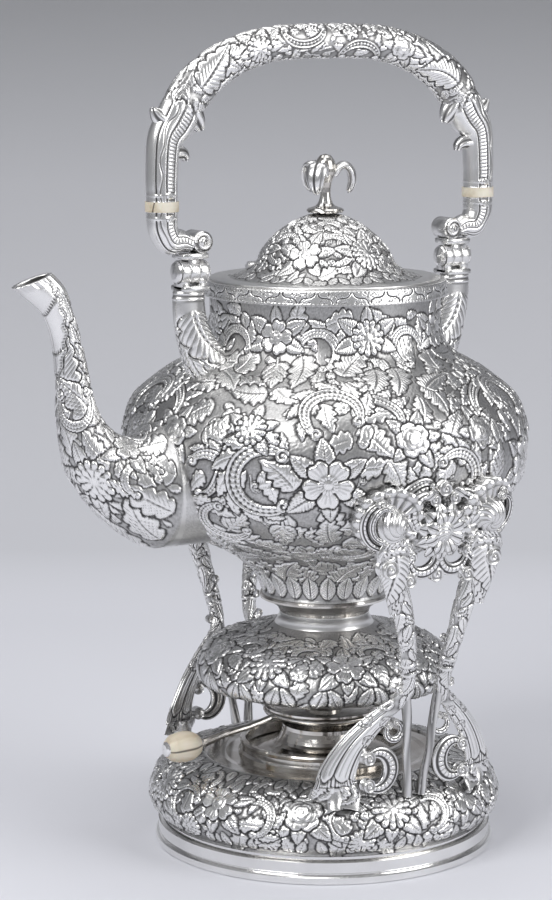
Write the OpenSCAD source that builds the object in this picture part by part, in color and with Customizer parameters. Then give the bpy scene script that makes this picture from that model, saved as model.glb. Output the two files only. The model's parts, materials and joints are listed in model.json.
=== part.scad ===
// Spirit kettle on its stand: a hinged-lid tea kettle that rests in a cradle of four scroll legs,
// over a lift-out spirit lamp, on a domed round base. Millimetres, +Z up, the base centre at the
// origin, the spout along -X, the lid hinge on the +Y side.

/* [Base] */
// Radius of the plinth where it stands on the table
plinth_r = 87.8; // [80:0.2:100]
// Height of the plain plinth mouldings
plinth_h = 13.5; // [10:0.5:18]
// Height of the domed border above the plinth
dome_h = 33; // [24:1:42]
// How far the domed border swells out past the plinth
dome_swell = 4.2; // [2:0.2:7]
// Radius of the plain stage inside the border
stage_r = 61; // [54:0.5:66]
// Inner radius of the gallery that locates the lamp
gallery_r = 40.4; // [37:0.2:46]
// Height of the gallery above the stage
gallery_h = 7.6; // [5:0.2:10]

/* [Kettle] */
// Height of the kettle's foot above the table when it sits in the cradle
kettle_z = 80.5; // [80:0.5:92]
// Largest radius of the belly
belly_r = 104.5; // [94:0.5:118]
// Height from the seam under the belly to the neck's edge
body_h = 160.5; // [145:0.5:180]
// Radius of the neck
neck_r = 59.5; // [52:0.5:64]
// Radius of the seam under the belly
seam_r = 32.6; // [29:0.2:37]
// Height of the waisted piece between foot and belly
waist_h = 9.5; // [7:0.5:14]
// Radius of the waist
waist_r = 23.4; // [20:0.2:27]
// Height of the domed foot
foot_h = 39.5; // [34:0.5:46]
// Largest radius of the domed foot
foot_r = 67; // [58:0.5:72]
// Height of the engraved rim band
band_h = 7.5; // [5:0.5:10]
// Sheet thickness of the raised silver
sheet = 1.2; // [0.9:0.1:1.6]

/* [Lid] */
// Height of the lid's dome above its flange
lid_h = 33.5; // [26:0.5:40]
// Gap between the lid's edge and the edge of the rim band
lid_inset = 3; // [2:0.2:5]
// Radial play of the lid's inner bezel in the rim
bezel_play = 0.6; // [0.5:0.1:1]

/* [Handle] */
// Height of the bail handle above its hinge pins
bail_h = 121; // [112:1:140]
// Half width of the bail at its ivory insulators
bail_w = 94.8; // [88:0.2:108]
// Distance of each hinge from the kettle's axis
hinge_x = 79; // [74:0.5:86]
// Height of the hinge pins above the neck's edge
hinge_rise = 9; // [7:0.5:12]
// Radius of the hinge knuckles
knuckle_r = 6; // [5:0.1:7]
// Length of each hinge barrel
barrel_l = 14.5; // [12:0.5:18]
// Radius of the hinge pins
pin_r = 2; // [1.5:0.1:2.6]
// Running clearance of pins and tenons, on the radius
fit = 0.05; // [0.03:0.01:0.08]

/* [Legs] */
// Half distance between the tops of a pair of legs
leg_top_x = 28.5; // [25:0.5:34]
// Half distance between the ankles of a pair of legs
leg_ankle_x = 9.8; // [8.5:0.2:13]
// Distance of the ankles from the kettle's axis
leg_ankle_y = 88; // [84:0.5:96]
// Half width of a leg at the shell
leg_w = 7.4; // [6:0.2:9]
// Half width of the shell at the top of a leg
shell_w = 17.5; // [15:0.5:19]
// Gap between the cradle and the belly
cradle_gap = 0.3; // [0.2:0.05:0.5]

/* [Lamp] */
// Height of the lamp's rim above the stage
lamp_h = 25.2; // [20:0.2:29]
// Radius of the lamp's rim
lamp_rim_r = 31; // [27:0.5:36]
// Radius of the lamp's waist
lamp_waist_r = 21.6; // [18:0.2:25]
// Radius of the lamp's burner tube
burner_r = 4; // [3:0.1:6]
// Distance of the ivory grip from the lamp's axis
grip_x = 84.5; // [76:0.5:96]
// Length of the ivory grip
grip_l = 19; // [15:0.5:24]
// Largest radius of the ivory grip
grip_r = 7.8; // [6:0.1:9.5]

/* [Hidden] */
$fn = 96;
dome_top = plinth_h + dome_h;
stage_z = dome_top - 1.4;
seam_z = kettle_z + foot_h + waist_h;
neck_z = seam_z + body_h;
rim_z = neck_z + 1.5;
hinge_z = neck_z + hinge_rise;
band_r = neck_r + 2;
lid_r = band_r - lid_inset;
bezel_r = neck_r - sheet - 1.9 - bezel_play;
ankle_z = seam_z - 39.5;
cradle_z = seam_z + 60;
disc_t = 5;
disc_r = 8;
disc_z = hinge_z + 32.7;
lid_pin_y = band_r - 0.8;
lid_pin_z = rim_z + 2.1;
lid_knuckle_r = 2;

// Outline of the lamp's body above its base
function font_outline() = curve([
    [gallery_r - 1.2, 1], [gallery_r - 5, 2.2], [lamp_waist_r + 5, 5.2], [lamp_waist_r + 1.4, 9.4],
    [lamp_waist_r, lamp_h * 0.6], [lamp_waist_r + 1.6, lamp_h * 0.79], [lamp_rim_r - 4.5, lamp_h * 0.91],
    [lamp_rim_r, lamp_h - 1]
], 3);

function at(p, i) = p[max(0, min(len(p) - 1, i))];
function bend(a, b, c, d, u) =
    0.5 * (2 * b + (c - a) * u + (2 * a - 5 * b + 4 * c - d) * u * u + (3 * b - a - 3 * c + d) * u * u * u);
// Smooth curve through the points p, with m steps between each pair
function curve(p, m) = [
    for (i = [0 : len(p) - 2]) for (k = [0 : m - 1])
        bend(at(p, i - 1), p[i], p[i + 1], at(p, i + 2), k / m),
    p[len(p) - 1]
];
function reverse(p) = [for (i = [len(p) - 1 : -1 : 0]) p[i]];
function unit(v) = v / norm(v);
function left_of(p, i) = let (d = unit(at(p, i + 1) - at(p, i - 1))) [-d[1], d[0]];
function inset(p, w) = [for (i = [0 : len(p) - 1]) p[i] + w * left_of(p, i)];
function flip(p, sx, sy) = [for (q = p) [q[0] * sx, q[1] * sy, q[2]]];

// Sheet of even thickness turned round the axis, from its outer outline read upwards
module turned_sheet(outline, w) {
    rotate_extrude() polygon(concat(outline, reverse(inset(outline, w))));
}

// Tube along a path, with its half width and half depth given at each point
module sweep(path, side, deep, out, n = 8) {
    m = len(path);
    rings = [
        for (i = [0 : m - 1])
            let (t = unit(at(path, i + 1) - at(path, i - 1)), s = unit(cross(t, at(out, i))), o = cross(s, t))
            for (k = [0 : n - 1])
                path[i] + side[i] * cos(360 * k / n) * s + deep[i] * sin(360 * k / n) * o
    ];
    skin = [
        for (i = [0 : m - 2]) for (k = [0 : n - 1])
            let (a = i * n + k, b = i * n + (k + 1) % n)
            each [[a, b, b + n], [a, b + n, a + n]]
    ];
    first = [for (k = [n - 1 : -1 : 0]) k];
    last = [for (k = [0 : n - 1]) (m - 1) * n + k];
    polyhedron(rings, concat([first], skin, [last]));
}

// Swept form from rows of [x, y, z, half width, half depth]
module swept_form(rows, out, steps, n = 8) {
    r = curve(rows, steps);
    sweep([for (q = r) [q[0], q[1], q[2]]], [for (q = r) q[3]], [for (q = r) q[4]], out, n);
}

// Part of a round wire: a scroll in the XZ plane
module scroll(r, wire, from, sweep_angle) {
    rotate([90, 0, 0]) rotate([0, 0, from]) rotate_extrude(angle = sweep_angle)
        translate([r, 0]) circle(wire, $fn = 20);
}

// Base

border_in = stage_r + 0.9;
border_r = plinth_r + dome_swell;
function border_outline() = curve([
    [plinth_r - 3.6, plinth_h],
    [plinth_r + dome_swell * 0.5, plinth_h + dome_h * 0.17],
    [border_r, plinth_h + dome_h * 0.39],
    [plinth_r + dome_swell * 0.25, plinth_h + dome_h * 0.66],
    [plinth_r - 4, plinth_h + dome_h * 0.82],
    [(plinth_r + border_in) / 2 - 1, plinth_h + dome_h * 0.94],
    [border_in + 3, dome_top],
    [border_in, dome_top - 0.4]
], 3);

module plinth() {
    color("silver") rotate_extrude() polygon(concat(
        [[plinth_r - 7, 0], [plinth_r - 0.6, 0], [plinth_r, 0.6], [plinth_r, 3.6], [plinth_r - 0.6, 4.2],
         [plinth_r - 2.2, 4.4], [plinth_r - 2.2, 5.2], [plinth_r - 1.6, 5.6], [plinth_r - 1.6, plinth_h - 5]],
        [for (a = [90 : -15 : 0]) [plinth_r - 4 + 2.4 * sin(a), plinth_h - 2.6 - 2.4 * cos(a)]],
        [[plinth_r - 3.4, plinth_h], [plinth_r - 8, plinth_h], [plinth_r - 8, plinth_h - 1.5]]
    ));
}

module base_border() {
    outline = border_outline();
    color("silver") difference() {
        rotate_extrude() polygon(concat(
            outline, [[border_in, stage_z - 1.2]], [[border_in + sheet, stage_z - 1.2]],
            [for (i = [len(outline) - 2 : -1 : 1]) outline[i] + sheet * left_of(outline, i)],
            [[plinth_r - 3.6 - sheet, plinth_h]]
        ));
        for (p = stud_places) translate([p[0], p[1], plinth_h]) cylinder(r = stud_r + 0.2, h = dome_h + 1);
    }
}

module lamp_stage() {
    color("silver") translate([0, 0, stage_z - 1.2]) rotate_extrude()
        polygon([[0, 0], [border_in, 0], [border_in, 1.2], [border_in - 8, 1.2],
                 [border_in - 11, 0.9], [0, 0.9]]);
}

stage_top = stage_z - 0.3;
module gallery_ring() {
    g = gallery_r;
    color("silver") translate([0, 0, stage_top]) rotate_extrude() polygon([
        [g, 0], [g + 4, 0], [g + 4, 1.4], [g + 3.4, 2], [g + 2.9, 2.6], [g + 2.7, gallery_h - 2.6],
        [g + 3.2, gallery_h - 2], [g + 3.3, gallery_h - 0.8], [g + 2.7, gallery_h], [g + 0.4, gallery_h],
        [g, gallery_h - 0.5]
    ]);
}

// Kettle

function body_outline() = let (b = belly_r - seam_r, g = belly_r - neck_r) [
    for (q = curve([
        [seam_r, 0],
        [seam_r + b * 0.075, body_h * 0.0717],
        [seam_r + b * 0.298, body_h * 0.1526],
        [seam_r + b * 0.687, body_h * 0.243],
        [seam_r + b * 0.9374, body_h * 0.3645],
        [belly_r, body_h * 0.514],
        [neck_r + g * 0.867, body_h * 0.6386],
        [neck_r + g * 0.5, body_h * 0.7277],
        [neck_r + g * 0.111, body_h * 0.7913],
        [neck_r, body_h * 0.88],
        [neck_r, body_h]
    ], 3)) [q[0], q[1] + seam_z]
];
body_rz = [for (q = body_outline()) [q[1], q[0]]];
function body_r_at(z) = lookup(z, body_rz);

// Solid of the belly, grown by a gap, that cuts what lies against it
module belly_core(gap) {
    o = body_outline();
    rotate_extrude() polygon(concat([[0, seam_z]], [for (q = o) [q[0] + gap, q[1]]], [[0, neck_z]]));
}

strain_r = 2.4;
module kettle_body() {
    o = body_outline();
    color("silver") difference() {
        rotate_extrude() polygon(concat(
            [[0, seam_z]], o,
            [[neck_r - sheet, neck_z]],
            [for (i = [len(o) - 2 : -1 : 2]) o[i] + sheet * left_of(o, i)],
            [[seam_r - sheet * 0.5, seam_z + sheet], [0, seam_z + sheet]]
        ));
        translate([0, 0, spout_z]) rotate([0, -90, 0]) for (a = [0 : 60 : 359])
            rotate([0, 0, a]) translate([8, 0, 0]) cylinder(r = strain_r, h = belly_r + 5, $fn = 24);
        translate([0, 0, spout_z]) rotate([0, -90, 0]) cylinder(r = strain_r, h = belly_r + 5, $fn = 24);
    }
}

module rim_band() {
    r = neck_r;
    color("silver") rotate_extrude() polygon([
        [r, rim_z - band_h], [r + 2.9, rim_z - band_h], [r + 2.9, rim_z - band_h + 1],
        [r + 2.3, rim_z - band_h + 1.5],
        [r + 2, rim_z - 1], [r + 1.6, rim_z], [r - sheet - 1.9, rim_z],
        [r - sheet - 1.9, neck_z], [r, neck_z]
    ]);
}

// Spout rings: [x, z, turn of the ring, half length, half width]
spout_z = seam_z + body_h * 0.405;
function spout_rows() = let (x = belly_r, z = spout_z) curve([
    [-x + 3, z, 2, 32.5, 31.5],
    [-x - 4.5, z + 1, 9, 28.5, 28],
    [-x - 13, z + 4.5, 23, 24, 24],
    [-x - 21.5, z + 10.5, 40, 20, 20],
    [-x - 30, z + 19, 57, 16.6, 16.6],
    [-x - 35.3, z + 29, 68, 13.4, 13.4],
    [-x - 38.8, z + 40.2, 76, 10.9, 10.9],
    [-x - 40.7, z + 56.2, 83, 8.8, 8.8],
    [-x - 43.9, z + 76.1, 78, 7.5, 7.5],
    [-x - 48.3, z + 89.5, 68, 7.6, 7.1],
    [-x - 53.5, z + 97.5, 66, 9.4, 7],
    [-x - 61.6, z + 104.9, 72.8, 11, 6.4]
], 2);
// The root ring lies just under the belly's skin
function on_belly(p) = let (r = body_r_at(p[2]) - 2) [-sqrt(max(1, r * r - p[1] * p[1])), p[1], p[2]];
function spout_ring(q, thin, n) = [
    for (k = [0 : n - 1])
        let (a = q[3] - thin, b = q[4] - thin, t = 360 * k / n)
        [q[0] - a * cos(t) * sin(q[2]), b * sin(t), q[1] - a * cos(t) * cos(q[2])]
];

module spout() {
    rows = spout_rows();
    n = 20;
    m = len(rows);
    outer = [for (i = [0 : m - 1]) for (p = spout_ring(rows[i], 0, n)) i == 0 ? on_belly(p) : p];
    inner = [for (i = [0 : m - 1]) for (p = spout_ring(rows[i], sheet, n)) i == 0 ? on_belly(p) : p];
    d = m * n;
    skin = [
        for (i = [0 : m - 2]) for (k = [0 : n - 1])
            let (a = i * n + k, b = i * n + (k + 1) % n)
            each [[a, a + n, b + n], [a, b + n, b], [d + a, d + b, d + b + n], [d + a, d + b + n, d + a + n]]
    ];
    ends = [
        for (k = [0 : n - 1])
            let (a = k, b = (k + 1) % n, e = (m - 1) * n)
            each [[a, b, d + b], [a, d + b, d + a], [e + a, d + e + b, e + b], [e + a, d + e + a, d + e + b]]
    ];
    color("silver") difference() {
        polyhedron(concat(outer, inner), concat(skin, ends));
        belly_core(0.04);
    }
}

waist_z = kettle_z + foot_h;
module kettle_waist() {
    o = curve([[waist_r, 0], [waist_r + 0.9, waist_h * 0.25], [waist_r + 4, waist_h * 0.5],
               [seam_r - 2, waist_h * 0.72]], 3);
    color("silver") translate([0, 0, waist_z]) rotate_extrude() polygon(concat(
        o, [[seam_r + 0.6, waist_h * 0.78], [seam_r + 0.9, waist_h * 0.9], [seam_r + 0.4, waist_h],
            [seam_r - 4, waist_h], [seam_r - 4, waist_h * 0.8]],
        [for (i = [len(o) - 2 : -1 : 0]) o[i] + sheet * left_of(o, i)]
    ));
}

module kettle_foot() {
    g = foot_r - waist_r;
    o = curve([
        [foot_r - 14.5, 0], [foot_r - 6, 1.2], [foot_r - 1.4, foot_h * 0.115], [foot_r, foot_h * 0.23],
        [foot_r - 1, foot_h * 0.36], [foot_r - 4.6, foot_h * 0.51], [waist_r + g * 0.77, foot_h * 0.625],
        [waist_r + g * 0.58, foot_h * 0.7], [waist_r + g * 0.36, foot_h * 0.75],
        [waist_r + g * 0.12, foot_h * 0.82], [waist_r + 0.6, foot_h * 0.9], [waist_r, foot_h]
    ], 3);
    color("silver") translate([0, 0, kettle_z]) rotate_extrude() polygon(concat(
        o, [for (i = [len(o) - 1 : -1 : 1]) o[i] + sheet * left_of(o, i)],
        [[foot_r - 16.5, 1.4], [foot_r - 16.5, 0]]
    ));
}

// Upright on the shoulder with the lower half of the bail's hinge
web_h = knuckle_r + 0.6;
plate_t = 2.8;
module barrel(x0, x1) {
    translate([x0, 0, hinge_z]) rotate([0, 90, 0]) cylinder(r = knuckle_r, h = x1 - x0, $fn = 48);
}
module pin_bore() {
    translate([hinge_x - barrel_l, 0, hinge_z]) rotate([0, 90, 0])
        cylinder(r = pin_r + fit, h = 2 * barrel_l, $fn = 48);
}

module upright() {
    h = barrel_l / 2;
    lug = barrel_l * 0.31;
    top = hinge_z - web_h - plate_t;
    foot = seam_z + body_h * 0.72;
    color("silver") difference() {
        union() {
            difference() {
                swept_form([
                    [hinge_x + 1, 0, top + 0.6, 8.6, 6.8], [hinge_x + 1.2, 0, top - 6, 9.2, 6.2],
                    [hinge_x + 0.4, 0, top - 14, 9.6, 6.2], [hinge_x - 2, 0, top - 23, 10, 6.8],
                    [hinge_x - 6, 0, top - 32, 11.4, 8], [hinge_x - 11, 0, top - 40, 13, 9.4],
                    [hinge_x - 15, 0, foot - 3, 14, 10]
                ], [[0, 1, 0]], 2, 14);
                belly_core(0.05);
                translate([hinge_x - 20, -20, top + 0.4]) cube([40, 40, 10]);
            }
            translate([hinge_x - h, -7, top]) cube([2 * h, 14, plate_t]);
            for (x = [hinge_x - h, hinge_x + h - lug]) {
                barrel(x, x + lug);
                translate([x, -4, top]) cube([lug, 8, plate_t + web_h]);
            }
        }
        pin_bore();
    }
}
module upright_spout_side() { mirror([1, 0, 0]) upright(); }
module upright_back_side() { upright(); }

module hinge_pin() {
    h = barrel_l / 2;
    translate([hinge_x, 0, hinge_z]) rotate([0, 90, 0]) {
        translate([0, 0, -h]) cylinder(r = pin_r, h = 2 * h, $fn = 48);
        for (s = [-1, 1]) mirror([0, 0, s < 0 ? 1 : 0]) translate([0, 0, h + 0.1]) rotate_extrude($fn = 48)
            polygon([[0, 0], [knuckle_r - 0.6, 0], [knuckle_r - 0.4, 0.5], [knuckle_r - 1, 1.3],
                     [knuckle_r - 2.6, 2], [0, 2.4]]);
        translate([0, 0, -h - 0.2]) cylinder(r = pin_r, h = 2 * h + 0.4, $fn = 48);
    }
}
module handle_hinge_pins() {
    color("silver") {
        hinge_pin();
        mirror([1, 0, 0]) hinge_pin();
    }
}

// Lid hinge, on the side away from the spectator
leaf_w = 17;
module lid_knuckle(x0, x1) {
    translate([x0, lid_pin_y, lid_pin_z]) rotate([0, 90, 0])
        cylinder(r = lid_knuckle_r, h = x1 - x0, $fn = 32);
}
module lid_bore() {
    translate([-leaf_w, lid_pin_y, lid_pin_z]) rotate([0, 90, 0])
        cylinder(r = 1 + fit, h = 2 * leaf_w, $fn = 32);
}
module lid_hinge_rim_leaf() {
    a = asin(leaf_w / 2 / (band_r + 1));
    color("silver") difference() {
        union() {
            rotate([0, 0, 90 - a]) rotate_extrude(angle = 2 * a)
                translate([neck_r + 2.95, rim_z - band_h + 1.2]) square([1.2, band_h - 1.4]);
            for (s = [-1, 1]) {
                lid_knuckle(s > 0 ? 3.7 : -8.5, s > 0 ? 8.5 : -3.7);
                translate([s > 0 ? 3.7 : -8.5, lid_pin_y + 0.6, rim_z - 4]) cube([4.8, 2.6, 6.1]);
            }
        }
        lid_bore();
        difference() {
            translate([0, 0, rim_z - 20]) cylinder(r = neck_r + 2.93, h = 20.05);
            translate([0, 0, rim_z - 21]) cylinder(r = neck_r - 5, h = 30);
        }
    }
}
module lid_hinge_pin() {
    color("silver") translate([-9, lid_pin_y, lid_pin_z]) rotate([0, 90, 0])
        cylinder(r = 1, h = 18, $fn = 32);
}

// Lid

function lid_outline() = curve([
    [lid_r - 9, rim_z + 1], [lid_r - 13, rim_z + 2.2], [lid_r - 18, rim_z + 4.6],
    [lid_r * 0.61, rim_z + lid_h * 0.25], [lid_r * 0.565, rim_z + lid_h * 0.42],
    [lid_r * 0.47, rim_z + lid_h * 0.62], [lid_r * 0.385, rim_z + lid_h * 0.76],
    [lid_r * 0.28, rim_z + lid_h * 0.87], [lid_r * 0.18, rim_z + lid_h * 0.955], [3, rim_z + lid_h]
], 3);
module lid_dome() {
    o = lid_outline();
    color("silver") difference() {
        rotate_extrude() polygon(concat(
        [[lid_r - 9.5, rim_z], [lid_r, rim_z], [lid_r, rim_z + 0.7], [lid_r - 0.3, rim_z + 1]], o,
        [for (i = [len(o) - 1 : -1 : 2]) o[i] + sheet * left_of(o, i)]
        ));
        translate([0, 0, rim_z]) cylinder(r = 3.4, h = lid_h + 1, $fn = 48);
    }
}
module lid_bezel() {
    color("silver") difference() {
        translate([0, 0, rim_z - 7]) cylinder(r = bezel_r, h = 7);
        translate([0, 0, rim_z - 8]) cylinder(r = bezel_r - 1, h = 9);
    }
}
module lid_hinge_leaf() {
    color("silver") difference() {
        union() {
            translate([-3.4, lid_pin_y - 8, rim_z + 1]) cube([6.8, 8, 1.3]);
            lid_knuckle(-3.4, 3.4);
        }
        lid_bore();
    }
}

finial_z = rim_z + lid_h;
module finial_stem() {
    color("silver") {
        translate([0, 0, finial_z]) rotate_extrude($fn = 64) polygon(concat(
            [[0, 0.02], [9, 0.02]],
            curve([[9.6, 0.8], [8.6, 2], [5, 3.2], [3.2, 6], [2.6, 10], [3.2, 15], [5.2, 19], [5.6, 22],
                   [4.6, 26], [2.6, 28.6]], 2),
            [[0, 29.4]]
        ));
        translate([0, 0, finial_z - 6]) cylinder(r = 3.3, h = 6.1, $fn = 48);
    }
}
// Three leaves that curl out of the stem and droop
module finial_leaves() {
    color("silver") for (a = [95, 215, 335]) rotate([0, 0, a]) translate([0, 0, finial_z]) difference() {
        swept_form([
            [5, 0, 20, 3.2, 1.6], [7.6, 0, 23.6, 4, 1.9], [11, 0, 23.4, 4.4, 2], [13.4, 0, 19.6, 4.2, 1.9],
            [13.8, 0, 14.6, 3.4, 1.7], [12.4, 0, 10.6, 2, 1.2]
        ], [[0.2, 0, 1], [0.2, 0, 1], [0.5, 0, 1], [0.8, 0, 1], [1, 0, 0.9],
            [1, 0, 0.7], [1, 0, 0.5], [1, 0, 0.2],
            [1, 0, 0], [1, 0, -0.2], [1, 0, -0.4]], 2);
        rotate_extrude($fn = 48)
            polygon([[0, 12], [3.4, 12], [4.7, 17], [5.68, 20], [5.68, 23], [4.7, 26], [0, 26]]);
    }
}
module finial_nut() {
    color("silver") translate([0, 0, finial_z - sheet - 3.4]) difference() {
        cylinder(r = 6, h = 2.6, $fn = 6);
        translate([0, 0, -1]) cylinder(r = 3.35, h = 5, $fn = 48);
    }
}

// Bail handle

bail_top = hinge_z + bail_h;
// Half of the arch from the crown to the insulator: [x, y, z, half thickness, half depth]
function arch_rows() = let (w = bail_w, t = bail_top, b = disc_z + disc_t / 2) [
    [0, 0, t - 9.4, 9.3, 7.6],
    [w * 0.17, 0, t - 9.6, 9.2, 7.6],
    [w * 0.34, 0, t - 10.8, 9.4, 7.6],
    [w * 0.52, 0, t - 15, 10, 7.8],
    [w * 0.69, 0, t - 22.6, 10.8, 8],
    [w * 0.83, 0, t - 34, 11.6, 8],
    [w * 0.925, 0, t - 48, 10.8, 7.6],
    [w * 0.985, 0, (t + b) / 2 - 14, 9, 7.6],
    [w, 0, b + 12, 8.4, 7.6],
    [w, 0, b + 5, 8.1, 7.6],
    [w, 0, b, 8, 7.6]
];
module arch_trim() {
    w = bail_w;
    t = bail_top;
    // Leaf end that hangs inside the corner
    swept_form([[w * 0.86, 0, t - 36, 5, 6], [w * 0.8, 0, t - 46, 4.4, 5], [w * 0.765, 0, t - 53, 2.6, 3.6],
                [w * 0.755, 0, t - 56, 1.2, 2]], [[0, 1, 0]], 2);
    // Outer spur where the scrolls meet
    swept_form([[w * 0.95, 0, t - 50, 5, 6], [w * 1.03, 0, t - 44, 3.6, 4.6],
                [w * 1.075, 0, t - 40.5, 1.4, 2.4]],
               [[0, 1, 0]], 2);
    // Curl under the lower scroll's start
    swept_form([[w * 0.93, 0, t - 62, 4, 5.5], [w * 0.87, 0, t - 63, 3.2, 4.4],
                [w * 0.835, 0, t - 66, 1.6, 2.6]],
               [[0, 1, 0]], 2);
}
tenon_r = 3.2;
tenon_l = 8;
module tenon_cuts() {
    for (s = [-1, 1]) {
        translate([s * bail_w, 0, disc_z - tenon_l - disc_t / 2 - 0.3])
            cylinder(r = tenon_r + fit, h = 2 * tenon_l + disc_t + 0.6, $fn = 48);
        translate([s * bail_w, 0, disc_z - disc_t / 2 - 0.02])
            cylinder(r = disc_r + 3, h = disc_t + 0.04, $fn = 48);
        for (u = [-1, 1]) translate([s * bail_w, 10, disc_z + u * (disc_t / 2 + 3.2)])
            rotate([90, 0, 0]) cylinder(r = 1.1 + fit, h = 20, $fn = 24);
    }
}
module bail_arch() {
    color("silver") difference() {
        union() {
            half = arch_rows();
            other = [for (i = [len(half) - 1 : -1 : 1]) let (q = half[i]) [-q[0], 0, q[2], q[3], q[4]]];
            swept_form(concat(other, half), [[0, 1, 0]], 2, 12);
            arch_trim();
            mirror([1, 0, 0]) arch_trim();
        }
        tenon_cuts();
    }
}
module insulator() {
    difference() {
        union() {
            translate([bail_w, 0, disc_z - disc_t / 2]) cylinder(r = disc_r + 0.3, h = disc_t);
            translate([bail_w, 0, disc_z - disc_t / 2 - tenon_l])
                cylinder(r = tenon_r, h = 2 * tenon_l + disc_t, $fn = 48);
        }
        for (u = [-1, 1]) translate([bail_w, 10, disc_z + u * (disc_t / 2 + 3.2)])
            rotate([90, 0, 0]) cylinder(r = 1.1 + fit, h = 20, $fn = 24);
    }
}
module insulator_spout_side() { color("ivory") mirror([1, 0, 0]) insulator(); }
module insulator_back_side() { color("ivory") insulator(); }
module insulator_rivets() {
    color("silver") for (s = [-1, 1]) for (u = [-1, 1])
        translate([s * bail_w, 0, disc_z + u * (disc_t / 2 + 3.2)]) rotate([90, 0, 0]) {
            cylinder(r = 1.1, h = 15.4, center = true, $fn = 24);
            for (v = [-1, 1]) mirror([0, 0, v < 0 ? 1 : 0]) translate([0, 0, 7.65])
                cylinder(r1 = 1.9, r2 = 1.2, h = 0.7, $fn = 24);
        }
}
// Lower scroll from the insulator to the volute and the upper half of the hinge
module bail_scroll() {
    b = disc_z - disc_t / 2;
    top = hinge_z + web_h;
    lug = barrel_l * 0.36;
    vz = top + plate_t + 5.4;
    color("silver") difference() {
        union() {
            swept_form([
                [bail_w, 0, b, 8, 7.6], [bail_w, 0, b - 4, 8, 7.6], [bail_w - 0.6, 0, b - 9, 7.6, 7.4],
                [bail_w - 4, 0, b - 14.5, 7, 7], [bail_w - 10, 0, vz + 0.6, 5.8, 6.6],
                [hinge_x + 1, 0, vz - 1.4, 4, 6.2]
            ], [[0, 1, 0]], 2, 12);
            translate([hinge_x - 4, 6.5, vz]) rotate([90, 0, 0]) cylinder(r = 5.5, h = 13, $fn = 48);
            translate([hinge_x - 4, 7.3, vz]) rotate([90, 0, 0]) cylinder(r = 2.6, h = 14.6, $fn = 32);
            translate([hinge_x - barrel_l / 2, -6, top]) cube([barrel_l, 12, plate_t]);
            barrel(hinge_x - lug / 2, hinge_x + lug / 2);
            translate([hinge_x - lug / 2, -4, hinge_z]) cube([lug, 8, web_h + plate_t]);
        }
        pin_bore();
        tenon_cuts();
    }
}
module bail_scroll_spout_side() { mirror([1, 0, 0]) bail_scroll(); }
module bail_scroll_back_side() { bail_scroll(); }

// Legs, drawn for the back right corner and mirrored to the other three

cradle_y = sqrt(pow(body_r_at(cradle_z) + 4, 2) - leg_top_x * leg_top_x);
function leg_rows() = let (x1 = leg_top_x, x0 = leg_ankle_x, y1 = cradle_y, y0 = leg_ankle_y, w = leg_w,
                           s = cradle_z - ankle_z, d = dome_top, f = ankle_z - dome_top) [
    [x1, y1, cradle_z + 4, w * 0.9, 3.6],
    [x1 - 0.5, y1 - 1, cradle_z - s * 0.12, w, 4],
    [x1 - 2, y1 - 2, cradle_z - s * 0.28, w, 4.2],
    [x0 + (x1 - x0) * 0.52, y1 - 2.8, cradle_z - s * 0.46, w * 0.86, 4],
    [x0 + (x1 - x0) * 0.22, y0 + (y1 - y0) * 0.6, cradle_z - s * 0.68, w * 0.7, 3.8],
    [x0 + 0.7, y0 + (y1 - y0) * 0.27, cradle_z - s * 0.88, w * 0.6, 3.6],
    [x0 + 3, y0 + 0.2, ankle_z + 3, w * 0.58, 3.2],
    [x0 + 9.5, y0 - 3.2, ankle_z - f * 0.08, w * 0.66, 2.9],
    [x0 + 18, y0 - 6.6, ankle_z - f * 0.27, w * 0.8, 2.7],
    [x0 + 26, y0 - 9.8, ankle_z - f * 0.5, w * 1.0, 2.6],
    [x0 + 31.6, y0 - 11.8, ankle_z - f * 0.77, w * 1.3, 2.4],
    [x0 + 32.4, y0 - 12, d + 1.2, w * 1.7, 2.3],
    [x0 + 34.6, y0 - 11.2, d - 5.2, w * 1.8, 1.6]
];
// Which way the outside of the leg faces, from the shell down to the leaf toe
leg_out = concat([for (i = [0 : 13]) [0, 1, 0.05]], [for (i = [0 : 10]) [0.1 + 0.03 * i, 1, 0.1 + 0.05 * i]]);

// Curve of the dome that the toes stand on
module dome_core(gap) {
    o = border_outline();
    rotate_extrude()
        polygon(concat([[0, 0]], [[plinth_r - 3.6, 0]], [for (q = o) [q[0], q[1] + gap]], [[0, dome_top]]));
}

stud_r = 1.5;
nut_r = 3.4;
nut_t = 2.4;
toe_x = leg_ankle_x + 32;
toe_y = leg_ankle_y - 13.5;
inner_toe_x = 3.8;
inner_toe_y = leg_ankle_y - 6.2;
stud_places = [
    for (sx = [-1, 1]) for (sy = [-1, 1]) each [
        [sx * toe_x, sy * toe_y], [sx * inner_toe_x, sy * inner_toe_y]
    ]
];
// Height of the dome at a radius, and of a nut's upper face against the sheet from below
crown_rz = [for (q = border_outline()) if (q[1] > plinth_h + dome_h * 0.4) q];
function crown_z(r) = lookup(r, crown_rz);
function nut_z(p) = let (r = norm(p), low = crown_z(r + nut_r), slope = (crown_z(r) - low) / nut_r)
    low - sheet * norm([1, slope]) - 0.3;

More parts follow.
